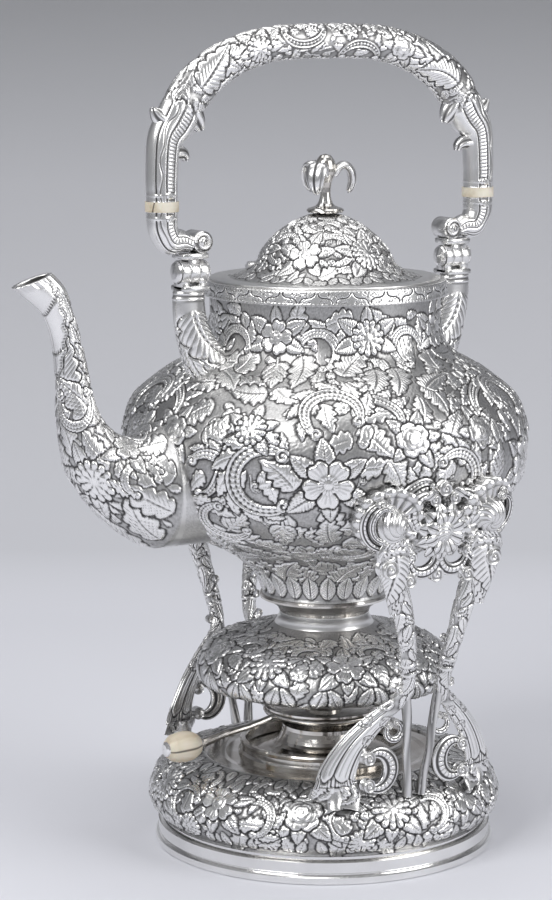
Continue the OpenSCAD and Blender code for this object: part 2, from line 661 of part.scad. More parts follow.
module leg() {
    x0 = leg_ankle_x;
    y0 = leg_ankle_y;
    a = ankle_z;
    f = ankle_z - dome_top;
    color("silver") difference() {
        union() {
            swept_form(leg_rows(), leg_out, 2, 10);
            // Inner scroll down to the toe beside the other leg
            swept_form([
                [x0 + 0.6, y0 + 0.8, a + 6, 3.6, 3.2], [x0 - 1.6, y0 - 0.4, a - f * 0.12, 3, 3],
                [x0 - 2.6, y0 - 1.6, a - f * 0.36, 2.7, 2.8], [x0 - 3, y0 - 2.8, a - f * 0.6, 2.6, 2.7],
                [x0 - 4.8, y0 - 4.4, a - f * 0.85, 2.8, 2.8],
                [inner_toe_x, inner_toe_y, crown_z(norm([inner_toe_x, inner_toe_y])) - 1.5, 3.1, 3.6]
            ], [[0, 1, 0.1]], 2);
            // Open scroll under the strut, with its volutes
            translate([x0 + 14.6, y0 - 5.2, dome_top + f * 0.245]) scroll(11.4, 2, 70, 220);
            translate([x0 + 18.5, y0 - 5.2, dome_top + f * 0.245 + 10.4]) rotate([90, 0, 0])
                cylinder(r = 3.2, h = 5, center = true, $fn = 32);
            // Small loop between ankle and strut
            translate([x0 + 4, y0 - 3.6, a - f * 0.3]) scroll(5.2, 1.6, 0, 360);
            leg_knops(0);
            // Foot under the leaf, drawn down to the dome by its stud
            translate([toe_x, toe_y, crown_z(norm([toe_x, toe_y])) - 6]) rotate_extrude($fn = 32)
                polygon([[0, 0], [4.8, 0], [4.8, 6.5], [3.6, 9], [3.8, 11.4], [0, 11.4]]);
        }
        dome_core(0.02);
        belly_core(cradle_gap);
    }
    color("silver") for (p = [[toe_x, toe_y], [inner_toe_x, inner_toe_y]])
        let (low = nut_z(p) - nut_t - 0.8)
            translate([p[0], p[1], low]) cylinder(r = stud_r, h = crown_z(norm(p)) + 1.6 - low, $fn = 24);
}
// Scrolled knops down the face of the leg
module leg_knops(g) {
    translate([leg_top_x + 2, cradle_y + 1.5, cradle_z - 27]) rotate([90, 0, 0])
        cylinder(r = 4.6 + g, h = 7 + 2 * g, center = true, $fn = 32);
    translate([leg_top_x - 11.2, cradle_y - 0.8, cradle_z - 34.5]) rotate([90, 0, 0])
        cylinder(r = 3.6 + g, h = 6 + 2 * g, center = true, $fn = 32);
}
module leg_back_right() { leg(); }
module leg_back_left() { mirror([1, 0, 0]) leg(); }
module leg_front_right() { mirror([0, 1, 0]) leg(); }
module leg_front_left() { mirror([1, 0, 0]) mirror([0, 1, 0]) leg(); }

module leg_nuts() {
    color("silver") for (i = [0 : len(stud_places) - 1]) let (p = stud_places[i])
        translate([p[0], p[1], nut_z(p) - nut_t]) difference() {
            cylinder(r = nut_r, h = nut_t, $fn = 6);
            translate([0, 0, -1]) cylinder(r = stud_r + 0.02, h = 5, $fn = 24);
        }
}

// Fluted shell that cradles the belly: a fan of ribs over a rolled boss
shell_z = cradle_z - 5;
function shell_mid(z) = body_r_at(cradle_z) + 3.4 + (z - cradle_z) * 0.22;
function shell_point(a, v, front, g) =
    let (
        top = max(0, sin(a)),
        fan = shell_w * v * (0.88 + 0.08 * sin(a) + 0.06 * top * abs(sin(4 * a))) + g,
        x = fan * cos(a) * 1.1,
        z = shell_z + fan * sin(a),
        dish = 8.2 * pow(max(0, 1 - v * v * 5), 0.6) + 6.5 * pow(v, 1.5) * (0.35 + 0.65 * top) + 2.2,
        rib = 1.5 * sin(180 * v) * top * abs(cos(4 * a)),
        roll = 1.8 * max(0, v - 0.8) * 5,
        r = front ? shell_mid(z) + dish + rib - roll + g : max(body_r_at(z) + cradle_gap, shell_mid(z) - 6),
        phi = atan2(cradle_y, leg_top_x) - x / r * 57.3
    ) [r * cos(phi), r * sin(phi), z];
module shell_form(g) {
    w = 36;
    nv = 5;
    front = [for (j = [1 : nv]) for (i = [0 : w - 1]) shell_point(360 * i / w, j / nv, true, g)];
    back = [for (j = [1 : nv]) for (i = [0 : w - 1]) shell_point(360 * i / w, j / nv, false, g)];
    hub = [shell_point(0, 0, true, 0), shell_point(0, 0, false, 0)];
    d = nv * w;
    h = 2 * d;
    e = d - w;
    faces = concat(
        [for (j = [0 : nv - 2]) for (i = [0 : w - 1]) let (a = j * w + i, b = j * w + (i + 1) % w)
            each [[a, a + w, b + w], [a, b + w, b],
                  [d + a, d + b, d + b + w], [d + a, d + b + w, d + a + w]]],
        [for (i = [0 : w - 1]) let (a = i, b = (i + 1) % w) each [[h, a, b], [h + 1, d + b, d + a]]],
        [for (i = [0 : w - 1]) let (a = e + i, b = e + (i + 1) % w) each [[a, d + a, d + b], [a, d + b, b]]]
    );
    polyhedron(concat(front, back, hub), faces);
}
module shell() {
    color("silver") difference() {
        shell_form(0);
        leg_slot();
    }
}
module leg_slot() {
    swept_form([for (q = leg_rows()) [q[0], q[1], q[2], q[3] + 0.03, q[4] + 0.03]], leg_out, 2, 10);
}
module shell_back_right() { shell(); }
module shell_back_left() { mirror([1, 0, 0]) shell(); }
module shell_front_right() { mirror([0, 1, 0]) shell(); }
module shell_front_left() { mirror([1, 0, 0]) mirror([0, 1, 0]) shell(); }

// Pierced bracket of scrolls round a flower, between the legs of a pair
bracket_z = cradle_z - 11;
bracket_y = cradle_y + 2;
bracket_lean = 9;
module bracket_flat() {
    w = leg_top_x - leg_w + 1;
    difference() {
        union() {
            for (s = [-1, 1]) {
                translate([s * w * 0.42, 12]) difference() {
                    circle(12, $fn = 36);
                    circle(8, $fn = 36);
                }
                translate([s * w * 0.42, -10]) difference() {
                    circle(12, $fn = 36);
                    circle(8.2, $fn = 36);
                }
            }
            translate([0, 22]) circle(4.4, $fn = 24);
            translate([0, -21.5]) circle(4, $fn = 24);
            circle(9, $fn = 36);
        }
        // Room for the shells
        for (s = [-1, 1]) translate([s * leg_top_x * 1.02, shell_z - bracket_z])
            circle(shell_w * 1.1, $fn = 48);
    }
}
// Flower with five broad petals and a domed heart, as one relief over a flat back
module flower(r) {
    count = 5;
    w = 40;
    nv = 6;
    fold = [for (i = [0 : w - 1]) abs(cos(i * 180 / w * count))];
    edge = [for (f = fold) r * (0.8 + 0.2 * sqrt(f))];
    front = [for (j = [1 : nv]) for (i = [0 : w - 1])
        let (v = j / nv, a = i * 360 / w, heart = v < 0.35 ? 1.9 * cos(v * 257) : 0,
             cup = 2.4 * sin(165 * v) * (0.4 + 0.6 * fold[i]))
        [edge[i] * v * cos(a), edge[i] * v * sin(a), 2.4 + cup + heart]];
    back = [for (i = [0 : w - 1]) [edge[i] * cos(i * 360 / w), edge[i] * sin(i * 360 / w), -1.2]];
    d = nv * w;
    e = d - w;
    faces = concat(
        [for (j = [0 : nv - 2]) for (i = [0 : w - 1]) let (a = j * w + i, b = j * w + (i + 1) % w)
            each [[a, a + w, b + w], [a, b + w, b]]],
        [for (i = [0 : w - 1]) let (a = e + i, b = e + (i + 1) % w, c = d + i, f = d + (i + 1) % w)
            each [[a, c, f], [a, f, b]]],
        [for (i = [0 : w - 1]) let (j = (i + 1) % w) each [[d + w, i, j], [d + w + 1, d + j, d + i]]]
    );
    polyhedron(concat(front, back, [[0, 0, 4.4], [0, 0, -1.2]]), [for (f = faces) [f[0], f[2], f[1]]]);
}
module bracket() {
    color("silver") difference() {
        translate([0, bracket_y, bracket_z]) rotate([-90 - bracket_lean, 0, 0]) {
            translate([0, 0, -2]) linear_extrude(4) mirror([0, 1]) bracket_flat();
            rotate([0, 0, 18]) flower(13.6);
        }
        belly_core(cradle_gap);
        leg_slot();
        mirror([1, 0, 0]) leg_slot();
        leg_knops(0.04);
        mirror([1, 0, 0]) leg_knops(0.04);
    }
}
module bracket_back() { bracket(); }
module bracket_front() { mirror([0, 1, 0]) bracket(); }

// Lamp

lamp_z = stage_top + 0.05;
module lamp_font() {
    q = font_outline();
    color("silver") translate([0, 0, lamp_z]) rotate_extrude() polygon(concat(
        [[0, 0], [gallery_r - 1.2, 0]], q, [[lamp_rim_r, lamp_h], [lamp_rim_r - 1.8, lamp_h]],
        [for (i = [len(q) - 2 : -1 : 4]) q[i] + sheet * left_of(q, i)], [[lamp_waist_r, 1.2], [0, 1.2]]
    ));
}
collar_r = burner_r + 3;
module lamp_top() {
    q = font_outline();
    wall = [for (i = [12 : len(q) - 1]) q[i] + (sheet + 0.04) * left_of(q, i)];
    color("silver") translate([0, 0, lamp_z]) difference() {
        rotate_extrude() polygon([
            [collar_r + 0.1, lamp_h - 4.2], [lamp_waist_r + 2, lamp_h - 4.2], [lamp_rim_r - 2, lamp_h - 1.4],
            [lamp_rim_r - 2, lamp_h - 0.5], [lamp_rim_r - 4, lamp_h - 0.9], [lamp_waist_r + 1, lamp_h - 3],
            [collar_r + 0.1, lamp_h - 3]
        ]);
        rotate_extrude() polygon(concat(wall, [[lamp_rim_r, lamp_h + 1], [lamp_rim_r + 9, lamp_h + 1],
                                               [lamp_rim_r + 9, wall[0][1]]]));
    }
}
rod_z = lamp_z + lamp_h - 5.2;
module lamp_rod() {
    q = font_outline();
    color("silver") difference() {
        union() {
            translate([0, 0, lamp_z + lamp_h - 2.6]) rotate_extrude()
                translate([lamp_rim_r - 0.9, 0]) circle(1.5, $fn = 20);
            swept_form([
                [-lamp_rim_r + 0.6, 0, rod_z + 2.2, 1.7, 1.7], [-lamp_rim_r - 4, 0, rod_z + 1.2, 1.6, 1.6],
                [-grip_x * 0.55, 0, rod_z - 1.2, 1.6, 1.6], [-grip_x * 0.72, 0, rod_z - 3, 1.9, 1.9],
                [-grip_x + grip_l / 2 + 2, 0, grip_z + 0.2, 2.4, 2.4],
                [-grip_x + grip_l / 2 - 1, 0, grip_z, 2.4, 2.4]
            ], [[0, 1, 0]], 2, 12);
        }
        translate([0, 0, lamp_z]) rotate_extrude() polygon(concat(
            [[0, q[12][1]]], [for (i = [12 : len(q) - 1]) [q[i][0] + 0.03, q[i][1] - 0.03]],
            [[lamp_rim_r + 0.03, lamp_h + 2], [0, lamp_h + 2]]
        ));
        translate([-grip_x - grip_l, 0, grip_z]) rotate([0, 90, 0])
            cylinder(r = 2 * grip_r, h = grip_l * 1.5 + 0.02);
    }
    color("silver") translate([-grip_x - grip_l / 2, 0, grip_z]) rotate([0, 90, 0])
        cylinder(r = 1.4, h = grip_l + 3, $fn = 24);
}
grip_z = rod_z - 6;
module lamp_grip() {
    color("ivory") translate([-grip_x - grip_l / 2, 0, grip_z]) rotate([0, 90, 0]) difference() {
        rotate_extrude($fn = 64) polygon(concat(
            [[0, 0]],
            curve([[grip_r * 0.56, 0], [grip_r * 0.86, grip_l * 0.16], [grip_r, grip_l * 0.45],
                   [grip_r * 0.93, grip_l * 0.72], [grip_r * 0.66, grip_l * 0.93], [grip_r * 0.4, grip_l]], 3),
            [[0, grip_l]]
        ));
        translate([0, 0, -1]) cylinder(r = 1.4 + fit, h = grip_l + 2, $fn = 24);
    }
}
module lamp_grip_cap() {
    color("silver") translate([-grip_x - grip_l / 2, 0, grip_z]) rotate([0, -90, 0]) rotate_extrude($fn = 48)
        polygon([[0, 0], [3.9, 0], [3.7, 0.9], [2.4, 1.6], [0, 1.9]]);
}
module burner_collar() {
    color("silver") translate([0, 0, lamp_z + lamp_h]) difference() {
        rotate_extrude($fn = 64) polygon([
            [0, -11], [collar_r, -11], [collar_r, -3], [collar_r + 2.6, -3], [collar_r + 2.6, -2],
            [collar_r + 0.6, -1.2], [burner_r + 1.2, -0.6], [burner_r + 0.2, 0.6], [burner_r, 5.5], [0, 5.5]
        ]);
        translate([0, 0, -12]) cylinder(r = burner_r - 0.8, h = 20, $fn = 48);
    }
}
module burner_wick() {
    color("beige") translate([0, 0, lamp_z + lamp_h - 16]) rotate_extrude($fn = 48)
        polygon([[0, 0], [burner_r - 0.85, 0], [burner_r - 0.85, 22], [burner_r - 1.4, 22.8], [0, 23]]);
}

plinth();
base_border();
lamp_stage();
gallery_ring();
leg_front_left();
leg_front_right();
leg_back_left();
leg_back_right();
shell_front_left();
shell_front_right();
shell_back_left();
shell_back_right();
bracket_front();
bracket_back();
leg_nuts();
kettle_body();
rim_band();
spout();
kettle_waist();
kettle_foot();
upright_spout_side();
upright_back_side();
handle_hinge_pins();
lid_hinge_rim_leaf();
lid_hinge_pin();
lid_dome();
lid_bezel();
lid_hinge_leaf();
finial_stem();
finial_leaves();
finial_nut();
bail_arch();
insulator_spout_side();
insulator_back_side();
insulator_rivets();
bail_scroll_spout_side();
bail_scroll_back_side();
lamp_font();
lamp_top();
lamp_rod();
lamp_grip();
lamp_grip_cap();
burner_collar();
burner_wick();
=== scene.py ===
"""Looks of the spirit kettle on its stand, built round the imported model.

Camera, backdrop, lights and materials are in metres; the shapes are drawn in millimetres.
"""

import json
import math

import bpy
import numpy as np
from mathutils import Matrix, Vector


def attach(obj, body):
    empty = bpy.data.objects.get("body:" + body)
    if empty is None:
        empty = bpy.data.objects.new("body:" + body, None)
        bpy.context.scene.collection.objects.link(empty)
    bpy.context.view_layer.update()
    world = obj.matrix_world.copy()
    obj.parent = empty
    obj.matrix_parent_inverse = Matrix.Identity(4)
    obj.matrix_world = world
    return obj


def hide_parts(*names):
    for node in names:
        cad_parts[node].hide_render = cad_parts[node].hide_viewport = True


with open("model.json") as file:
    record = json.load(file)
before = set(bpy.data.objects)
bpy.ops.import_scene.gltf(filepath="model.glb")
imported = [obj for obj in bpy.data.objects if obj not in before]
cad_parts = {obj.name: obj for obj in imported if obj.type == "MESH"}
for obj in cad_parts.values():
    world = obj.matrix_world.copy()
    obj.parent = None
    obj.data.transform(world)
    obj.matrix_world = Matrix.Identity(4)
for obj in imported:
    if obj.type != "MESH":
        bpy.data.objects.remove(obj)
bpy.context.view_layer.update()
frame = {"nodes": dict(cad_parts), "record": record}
scene = bpy.context.scene
MM = 0.001
TAU = 2 * math.pi
QUARTER = math.pi / 2
FINE = 1.0

# Camera, from the photograph's viewing angle

HEADING_X, HEADING_Y = 0.530, 0.848
PITCH_DOWN = 0.1641
SENSOR_MM, LENS_MM = 36, 111.9
camera = bpy.data.objects.new("camera", bpy.data.cameras.new("camera"))
scene.collection.objects.link(camera)
scene.camera = camera
camera.data.sensor_fit = "VERTICAL"
camera.data.sensor_height = SENSOR_MM
camera.data.lens = LENS_MM
camera.data.clip_end = 20
camera.location = (-0.7701, -1.1852, 0.4372)
level = math.cos(PITCH_DOWN)
view_dir = Vector((HEADING_X * level, HEADING_Y * level, -math.sin(PITCH_DOWN)))
camera.rotation_euler = view_dir.to_track_quat("-Z", "Y").to_euler()

# Node helpers


def new_material(name):
    m = bpy.data.materials.new(name)
    m.use_nodes = True
    tree = m.node_tree
    return m, tree, tree.nodes["Principled BSDF"]


def add(tree, kind, **values):
    n = tree.nodes.new(kind)
    for k, v in values.items():
        if hasattr(n, k):
            setattr(n, k, v)
        else:
            n.inputs[k].default_value = v
    return n


def noise(tree, scale, detail=4.0, stretch=(1, 1, 1)):
    coord = add(tree, "ShaderNodeTexCoord")
    mapping = add(tree, "ShaderNodeMapping")
    mapping.inputs["Scale"].default_value = stretch
    tree.links.new(coord.outputs["Object"], mapping.inputs["Vector"])
    n = add(tree, "ShaderNodeTexNoise", Scale=scale, Detail=detail)
    tree.links.new(mapping.outputs["Vector"], n.inputs["Vector"])
    return n.outputs["Fac"]


def ramp(tree, source, stops):
    r = add(tree, "ShaderNodeValToRGB")
    while len(r.color_ramp.elements) < len(stops):
        r.color_ramp.elements.new(0.5)
    for e, (at, value) in zip(r.color_ramp.elements, stops):
        e.position = at
        e.color = (*value, 1) if isinstance(value, tuple) else (value, value, value, 1)
    tree.links.new(source, r.inputs["Fac"])
    return r.outputs["Color"]


def mix(tree, kind, fac, a, b):
    m = add(tree, "ShaderNodeMix", data_type="RGBA", blend_type=kind)
    for socket, value in ((m.inputs[0], fac), (m.inputs[6], a), (m.inputs[7], b)):
        if isinstance(value, (int, float)):
            socket.default_value = value
        elif isinstance(value, tuple):
            socket.default_value = (*value, 1)
        else:
            tree.links.new(value, socket)
    return m.outputs[2]


def times(tree, a, b):
    return mix(tree, "MULTIPLY", 1.0, a, b)


def bump(tree, shader, source, strength, distance):
    b = add(tree, "ShaderNodeBump", Strength=strength, Distance=distance)
    tree.links.new(source, b.inputs["Height"])
    tree.links.new(b.outputs["Normal"], shader.inputs["Normal"])


SILVER_TONES = [(0.25, (0.8, 0.795, 0.79)), (0.6, (0.93, 0.925, 0.915)), (1, (0.95, 0.945, 0.94))]
TARNISH_TONES = [(0.36, (0.5, 0.465, 0.425)), (0.55, (0.72, 0.7, 0.67)), (0.72, (0.88, 0.87, 0.855))]
# Dark colour of the chased hollows: partly the oxide that chased silver holds, partly painted shade in the
# recesses.
OXIDE_AND_SHADE = (0.06, 0.058, 0.06)
# Low relief and deep cavity darken the colour towards the dark colour above, as oxide and painted shade.
LOW_TONES = [(0.0, 0.34), (0.14, 0.5), (0.3, 0.7), (0.6, 1.0)]
CAVITY_TONES = [(0.45, 1.0), (0.54, 0.76), (0.65, 0.34), (0.82, 0.07)]
IVORY_TONES = [(0.3, (0.55, 0.46, 0.34)), (0.5, (0.72, 0.65, 0.54)), (0.75, (0.84, 0.79, 0.7))]
CRACK_TONES = [(0.488, 1.0), (0.496, 0.2), (0.504, 0.2), (0.512, 1.0)]


def silver_material(name, rough, chased, tarnish=False):
    """Silver with fine scratches; the chased kind darkens by the relief and cavity attributes: oxide in its
    hollows together with painted shade in the recesses.
    """
    m, tree, shader = new_material(name)
    shader.inputs["Metallic"].default_value = 1
    tone = noise(tree, 38, 5)
    color = ramp(tree, tone, SILVER_TONES)
    grain = noise(tree, 900, 3, (1, 1, 0.25))
    if tarnish:
        patch = noise(tree, 55, 4)
        film = ramp(tree, patch, TARNISH_TONES)
        color = times(tree, color, film)
    if chased:
        relief = add(tree, "ShaderNodeAttribute", attribute_name="relief")
        cavity = add(tree, "ShaderNodeAttribute", attribute_name="cavity")
        # Low relief and hollows mix in the dark colour: oxide together with painted shade.
        low = ramp(tree, relief.outputs["Fac"], LOW_TONES)
        deep = ramp(tree, cavity.outputs["Fac"], CAVITY_TONES)
        lifted = times(tree, low, deep)
        color = mix(tree, "MIX", lifted, OXIDE_AND_SHADE, color)
        rough_value = ramp(tree, lifted, [(0.0, 0.6), (0.5, rough + 0.1), (1.0, rough)])
        tree.links.new(rough_value, shader.inputs["Roughness"])
        stipple = noise(tree, 1500, 2)
        bump(tree, shader, times(tree, stipple, grain), 0.3, 0.0001)
    else:
        worn = ramp(tree, grain, [(0.35, rough * 0.75), (0.7, rough * 1.5)])
        tree.links.new(worn, shader.inputs["Roughness"])
        bump(tree, shader, grain, 0.06, 0.0001)
    tree.links.new(color, shader.inputs["Base Color"])
    return m


def ivory_material():
    """Aged ivory: long grain lines, pale stains and thin drying cracks along the grain."""
    m, tree, shader = new_material("ivory")
    lines = noise(tree, 160, 6, (0.12, 1, 1))
    patch = noise(tree, 60, 3)
    grain = ramp(tree, lines, IVORY_TONES)
    crack = noise(tree, 42, 1, (0.1, 1, 1))
    cracks = ramp(tree, crack, CRACK_TONES)
    stain = ramp(tree, patch, [(0.4, (0.9, 0.86, 0.78)), (0.7, (1.0, 1.0, 1.0))])
    split = times(tree, grain, cracks)
    tree.links.new(times(tree, split, stain), shader.inputs["Base Color"])
    shader.inputs["Roughness"].default_value = 0.38
    shader.inputs["Subsurface Weight"].default_value = 0.08
    bump(tree, shader, lines, 0.2, 0.0002)
    return m


def wick_material():
    m, tree, shader = new_material("wick")
    coord = add(tree, "ShaderNodeTexCoord")
    weave = add(tree, "ShaderNodeTexWave", Scale=700, Distortion=1.5)
    tree.links.new(coord.outputs["Object"], weave.inputs["Vector"])
    color = ramp(tree, weave.outputs["Fac"], [(0.0, (0.5, 0.44, 0.34)), (1.0, (0.85, 0.81, 0.72))])
    tree.links.new(color, shader.inputs["Base Color"])
    shader.inputs["Roughness"].default_value = 0.95
    bump(tree, shader, weave.outputs["Fac"], 0.6, 0.0003)
    return m


MATERIALS = {
    "silver_plain": silver_material("silver_plain", 0.15, False),
    "silver_tarnished": silver_material("silver_tarnished", 0.13, False, True),
    "silver_chased": silver_material("silver_chased", 0.27, True),
    "silver_cast": silver_material("silver_cast", 0.24, True),
    "ivory": ivory_material(),
    "wick": wick_material(),
}
SLOT_OF = {s["node"]: s["material_slot"] for s in frame["record"]["subparts"]}
BODY_OF = {node: body for body, nodes in frame["record"]["behaviour"]["bodies"].items() for node in nodes}

# Curves and surfaces


def catmull(points, steps):
    """The smooth curve that the solids are drawn with."""
    p = np.asarray(points, float)
    q = np.vstack([p[:1], p, p[-1:]])
    u = (np.arange(steps) / steps)[:, None]
    out = []
    for i in range(len(p) - 1):
        a, b, c, d = q[i:i + 4]
        square, cube = 2 * a - 5 * b + 4 * c - d, 3 * b - a - 3 * c + d
        out.append(0.5 * (2 * b + (c - a) * u + square * u ** 2 + cube * u ** 3))
    return np.vstack(out + [p[-1:]])


def arc(path):
    return np.r_[0, np.cumsum(np.linalg.norm(np.diff(path, axis=0), axis=1))]


def evenly(path, step):
    s = arc(path[:, :3] if path.shape[1] > 3 else path)
    t = np.linspace(0, s[-1], max(3, int(round(s[-1] / step)) + 1))
    return np.stack([np.interp(t, s, path[:, k]) for k in range(path.shape[1])], 1)


def box_blur(h, n):
    """Three box passes in each direction; rows clamp at the ends, columns wrap."""
    for _ in range(3):
        for axis, mode in ((0, "edge"), (1, "wrap")):
            pad = [(0, 0), (0, 0)]
            pad[axis] = (n + 1, n)
            c = np.cumsum(np.pad(h, pad, mode=mode), axis=axis)
            hi = np.take(c, np.arange(2 * n + 1, c.shape[axis]), axis=axis)
            lo = np.take(c, np.arange(0, c.shape[axis] - 2 * n - 1), axis=axis)
            h = (hi - lo) / (2 * n + 1)
    return h


def mesh_piece(name, node, points, faces, rel, cavity):
    """A piece in place of a node. points in mm, (n, 3); faces a list of (m, corners) arrays."""
    mesh = bpy.data.meshes.new(name)
    mesh.vertices.add(len(points))
    mesh.vertices.foreach_set("co", (np.asarray(points, np.float32) * MM).ravel())
    sizes = np.concatenate([np.full(len(f), f.shape[1]) for f in faces])
    index = np.concatenate([f.ravel() for f in faces]).astype(np.int32)
    mesh.loops.add(len(index))
    mesh.loops.foreach_set("vertex_index", index)
    mesh.polygons.add(len(sizes))
    mesh.polygons.foreach_set("loop_start", np.r_[0, np.cumsum(sizes)[:-1]].astype(np.int32))
    mesh.polygons.foreach_set("use_smooth", np.full(len(sizes), True))
    for key, values in (("relief", rel), ("cavity", cavity)):
        attribute = mesh.attributes.new(key, "FLOAT", "POINT")
        attribute.data.foreach_set("value", np.asarray(values, np.float32).ravel())
    mesh.update(calc_edges=True)
    mesh.validate()
    obj = bpy.data.objects.new(name, mesh)
    scene.collection.objects.link(obj)
    mesh.materials.append(MATERIALS[SLOT_OF[node]])
    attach(obj, BODY_OF[node])
    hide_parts(node)


def grid_faces(rows, cols, wrap_rows=False):
    """Quads over rings of points, row by row."""
    i = np.arange(rows if wrap_rows else rows - 1)
    j = np.arange(cols)
    a = (i[:, None] * cols + j[None, :]).ravel()
    b = (i[:, None] * cols + (j[None, :] + 1) % cols).ravel()
    c = (((i[:, None] + 1) % rows) * cols + (j[None, :] + 1) % cols).ravel()
    d = (((i[:, None] + 1) % rows) * cols + j[None, :]).ravel()
    return np.stack([a, b, c, d], 1)


def odd(k):
    """1 for an odd number, -1 for an even one."""
    return 1 if k % 2 else -1


# Relief: a height field from 0 (ground) to 1 (crest) over a surface


GROUND = 0.2
# What plain silver has for relief and cavity
PLAIN, LEVEL = 0.9, 0.5
# A leaf goes where less than this share of its place is taken
MOST_TAKEN = 0.3
FILL_LIFT = 0.78
# How far round a point the cavity is judged, in mm, and how strongly it counts
CAVITY_REACH, CAVITY_GAIN = 0.8, 1.6
EDGE_FADE = 1.2


class Relief:
    """Rows follow s, the length along the form; columns go round it. width is mm per radian of each row.
    What is drawn first lies on top: later motifs only fill what is still free, with a groove left between."""

    def __init__(self, s, width, cols):
        self.s, self.width, self.cols = s, width, cols
        self.h = np.zeros((len(s), cols))
        self.taken = np.zeros((len(s), cols), bool)
        self.step = TAU / cols
        self.angle = (np.arange(cols) * self.step)[None]
        self.along = s[:, None]

    def window(self, th, s0, reach):
        rows = np.nonzero(np.abs(self.s - s0) < reach)[0]
        if not len(rows):
            return None
        half = min(self.cols // 2 - 1, int(reach / max(self.width[rows].min(), 1) / self.step) + 1)
        centre = int(round(th / self.step))
        span = np.arange(-half, half + 1)
        x = self.width[rows][:, None] * ((centre + span) * self.step - th)[None, :]
        y = np.repeat((self.s[rows] - s0)[:, None], len(span), 1)
        return np.ix_(rows, (centre + span) % self.cols), x, y

    def width_at(self, s):
        return np.interp(s, self.s, self.width)

    def put(self, cells, top, footprint):
        free = ~self.taken[cells]
        self.h[cells] = np.where(free & (top > 0), np.clip(top, 0, 1), self.h[cells])
        self.taken[cells] |= footprint

    def stamp(self, motif, th, s0, size, turn=0.0, mirror=1, lift=1.0):
        """A motif about its origin, with a groove one cell wide round it."""
        found = self.window(th, s0, size * 1.25)
        if not found:
            return
        cells, x, y = found
        top = lift * motif(*turned(x * mirror, y, turn, size))
        inside = top > 0.02
        footprint = inside.copy()
        footprint[1:] |= inside[:-1]
        footprint[:-1] |= inside[1:]
        footprint[:, 1:] |= inside[:, :-1]
        footprint[:, :-1] |= inside[:, 1:]
        self.put(cells, top, footprint)

    def stroke(self, path, half, profile, groove=0.8):
        """A raised line. path is (n, 2) of angle and s; half its half width in mm at each point."""
        th0, s0 = path.mean(0)
        local = np.stack([(path[:, 0] - th0) * self.width_at(path[:, 1]), path[:, 1] - s0], 1)
        found = self.window(th0, s0, np.abs(local).max() + half.max() + groove + 1)
        if not found:
            return
        cells, x, y = found
        best = np.full(x.shape, 1e9)
        along = np.zeros(x.shape)
        side = np.zeros(x.shape)
        wide = np.ones(x.shape)
        length = arc(local)
        for i in range(len(local) - 1):
            a, d = local[i], local[i + 1] - local[i]
            t = np.clip(((x - a[0]) * d[0] + (y - a[1]) * d[1]) / (d @ d + 1e-9), 0, 1)
            px, py = x - a[0] - t * d[0], y - a[1] - t * d[1]
            w = half[i] + (half[i + 1] - half[i]) * t
            dist = np.hypot(px, py) / w
            closer = dist < best
            best = np.where(closer, dist, best)
            along = np.where(closer, length[i] + t * (length[i + 1] - length[i]), along)
            side = np.where(closer, np.sign(d[0] * py - d[1] * px) * dist, side)
            wide = np.where(closer, w, wide)
        top = np.where(best < 1, profile(side, along / length[-1], along), 0)
        self.put(cells, top, best < 1 + groove / wide)

    def free_at(self, th, s0, reach):
        found = self.window(th, s0, reach)
        if not found:
            return False
        cells, x, y = found
        inside = np.hypot(x, y) < reach
        return self.taken[cells][inside].mean() < MOST_TAKEN

    def fill(self, rng, sizes, motifs, tries, s_range, lean=None):
        """Leaves wherever the ground is still bare, the large ones first."""
        for size in sizes:
            for _ in range(tries):
                th, s0 = rng.uniform(0, TAU), rng.uniform(*s_range)
                if self.free_at(th, s0, size * 0.34):
                    turn = rng.uniform(0, TAU) if lean is None else lean(th, s0) + rng.uniform(-0.7, 0.7)
                    back = size * 0.5
                    root = th - back * math.cos(turn) / self.width_at(s0)
                    motif = motifs[rng.integers(len(motifs))]
                    mirror = 1 if rng.random() < 0.5 else -1
                    self.stamp(motif, root, s0 - back * math.sin(turn), size, turn, mirror, FILL_LIFT)

    def finish(self, rng, grain=0.05):
        """Punched ground, one softening pass, then relief and cavity, each from 0 to 1."""
        punched = GROUND + grain * rng.uniform(-1, 1, self.h.shape)
        h = np.where(self.taken | (self.h > 0), self.h, punched)
        around = np.roll(h, 1, 1) + np.roll(h, -1, 1) + np.pad(h, ((1, 0), (0, 0)), "edge")[:-1]
        around += np.pad(h, ((0, 1), (0, 0)), "edge")[1:]
        h = 0.6 * h + 0.1 * around
        mean_step = max(0.2, float(np.mean(np.diff(self.s))))
        # The cavity, high in hollows, darkens the chased silver's colour: oxide together with painted shade.
        blurred = box_blur(h, max(1, int(round(CAVITY_REACH / mean_step))))
        cavity = np.clip(0.5 + (blurred - h) * CAVITY_GAIN, 0, 1)
        return h, cavity


# Motifs, each of unit size: height over a plane, 0 outside its outline


def bell(x, width):
    return np.exp(-(x / width) ** 2)


def polar(x, y):
    return np.hypot(x, y), np.arctan2(y, x)


def turned(x, y, turn, size):
    """The same point seen from a frame that is turned and of another size."""
    c, s = math.cos(turn), math.sin(turn)
    return (x * c + y * s) / size, (-x * s + y * c) / size


def soft(x, width):
    return np.clip(x / width, 0, 1)


def dome(x):
    return np.sqrt(np.clip(1 - x * x, 0, 1))


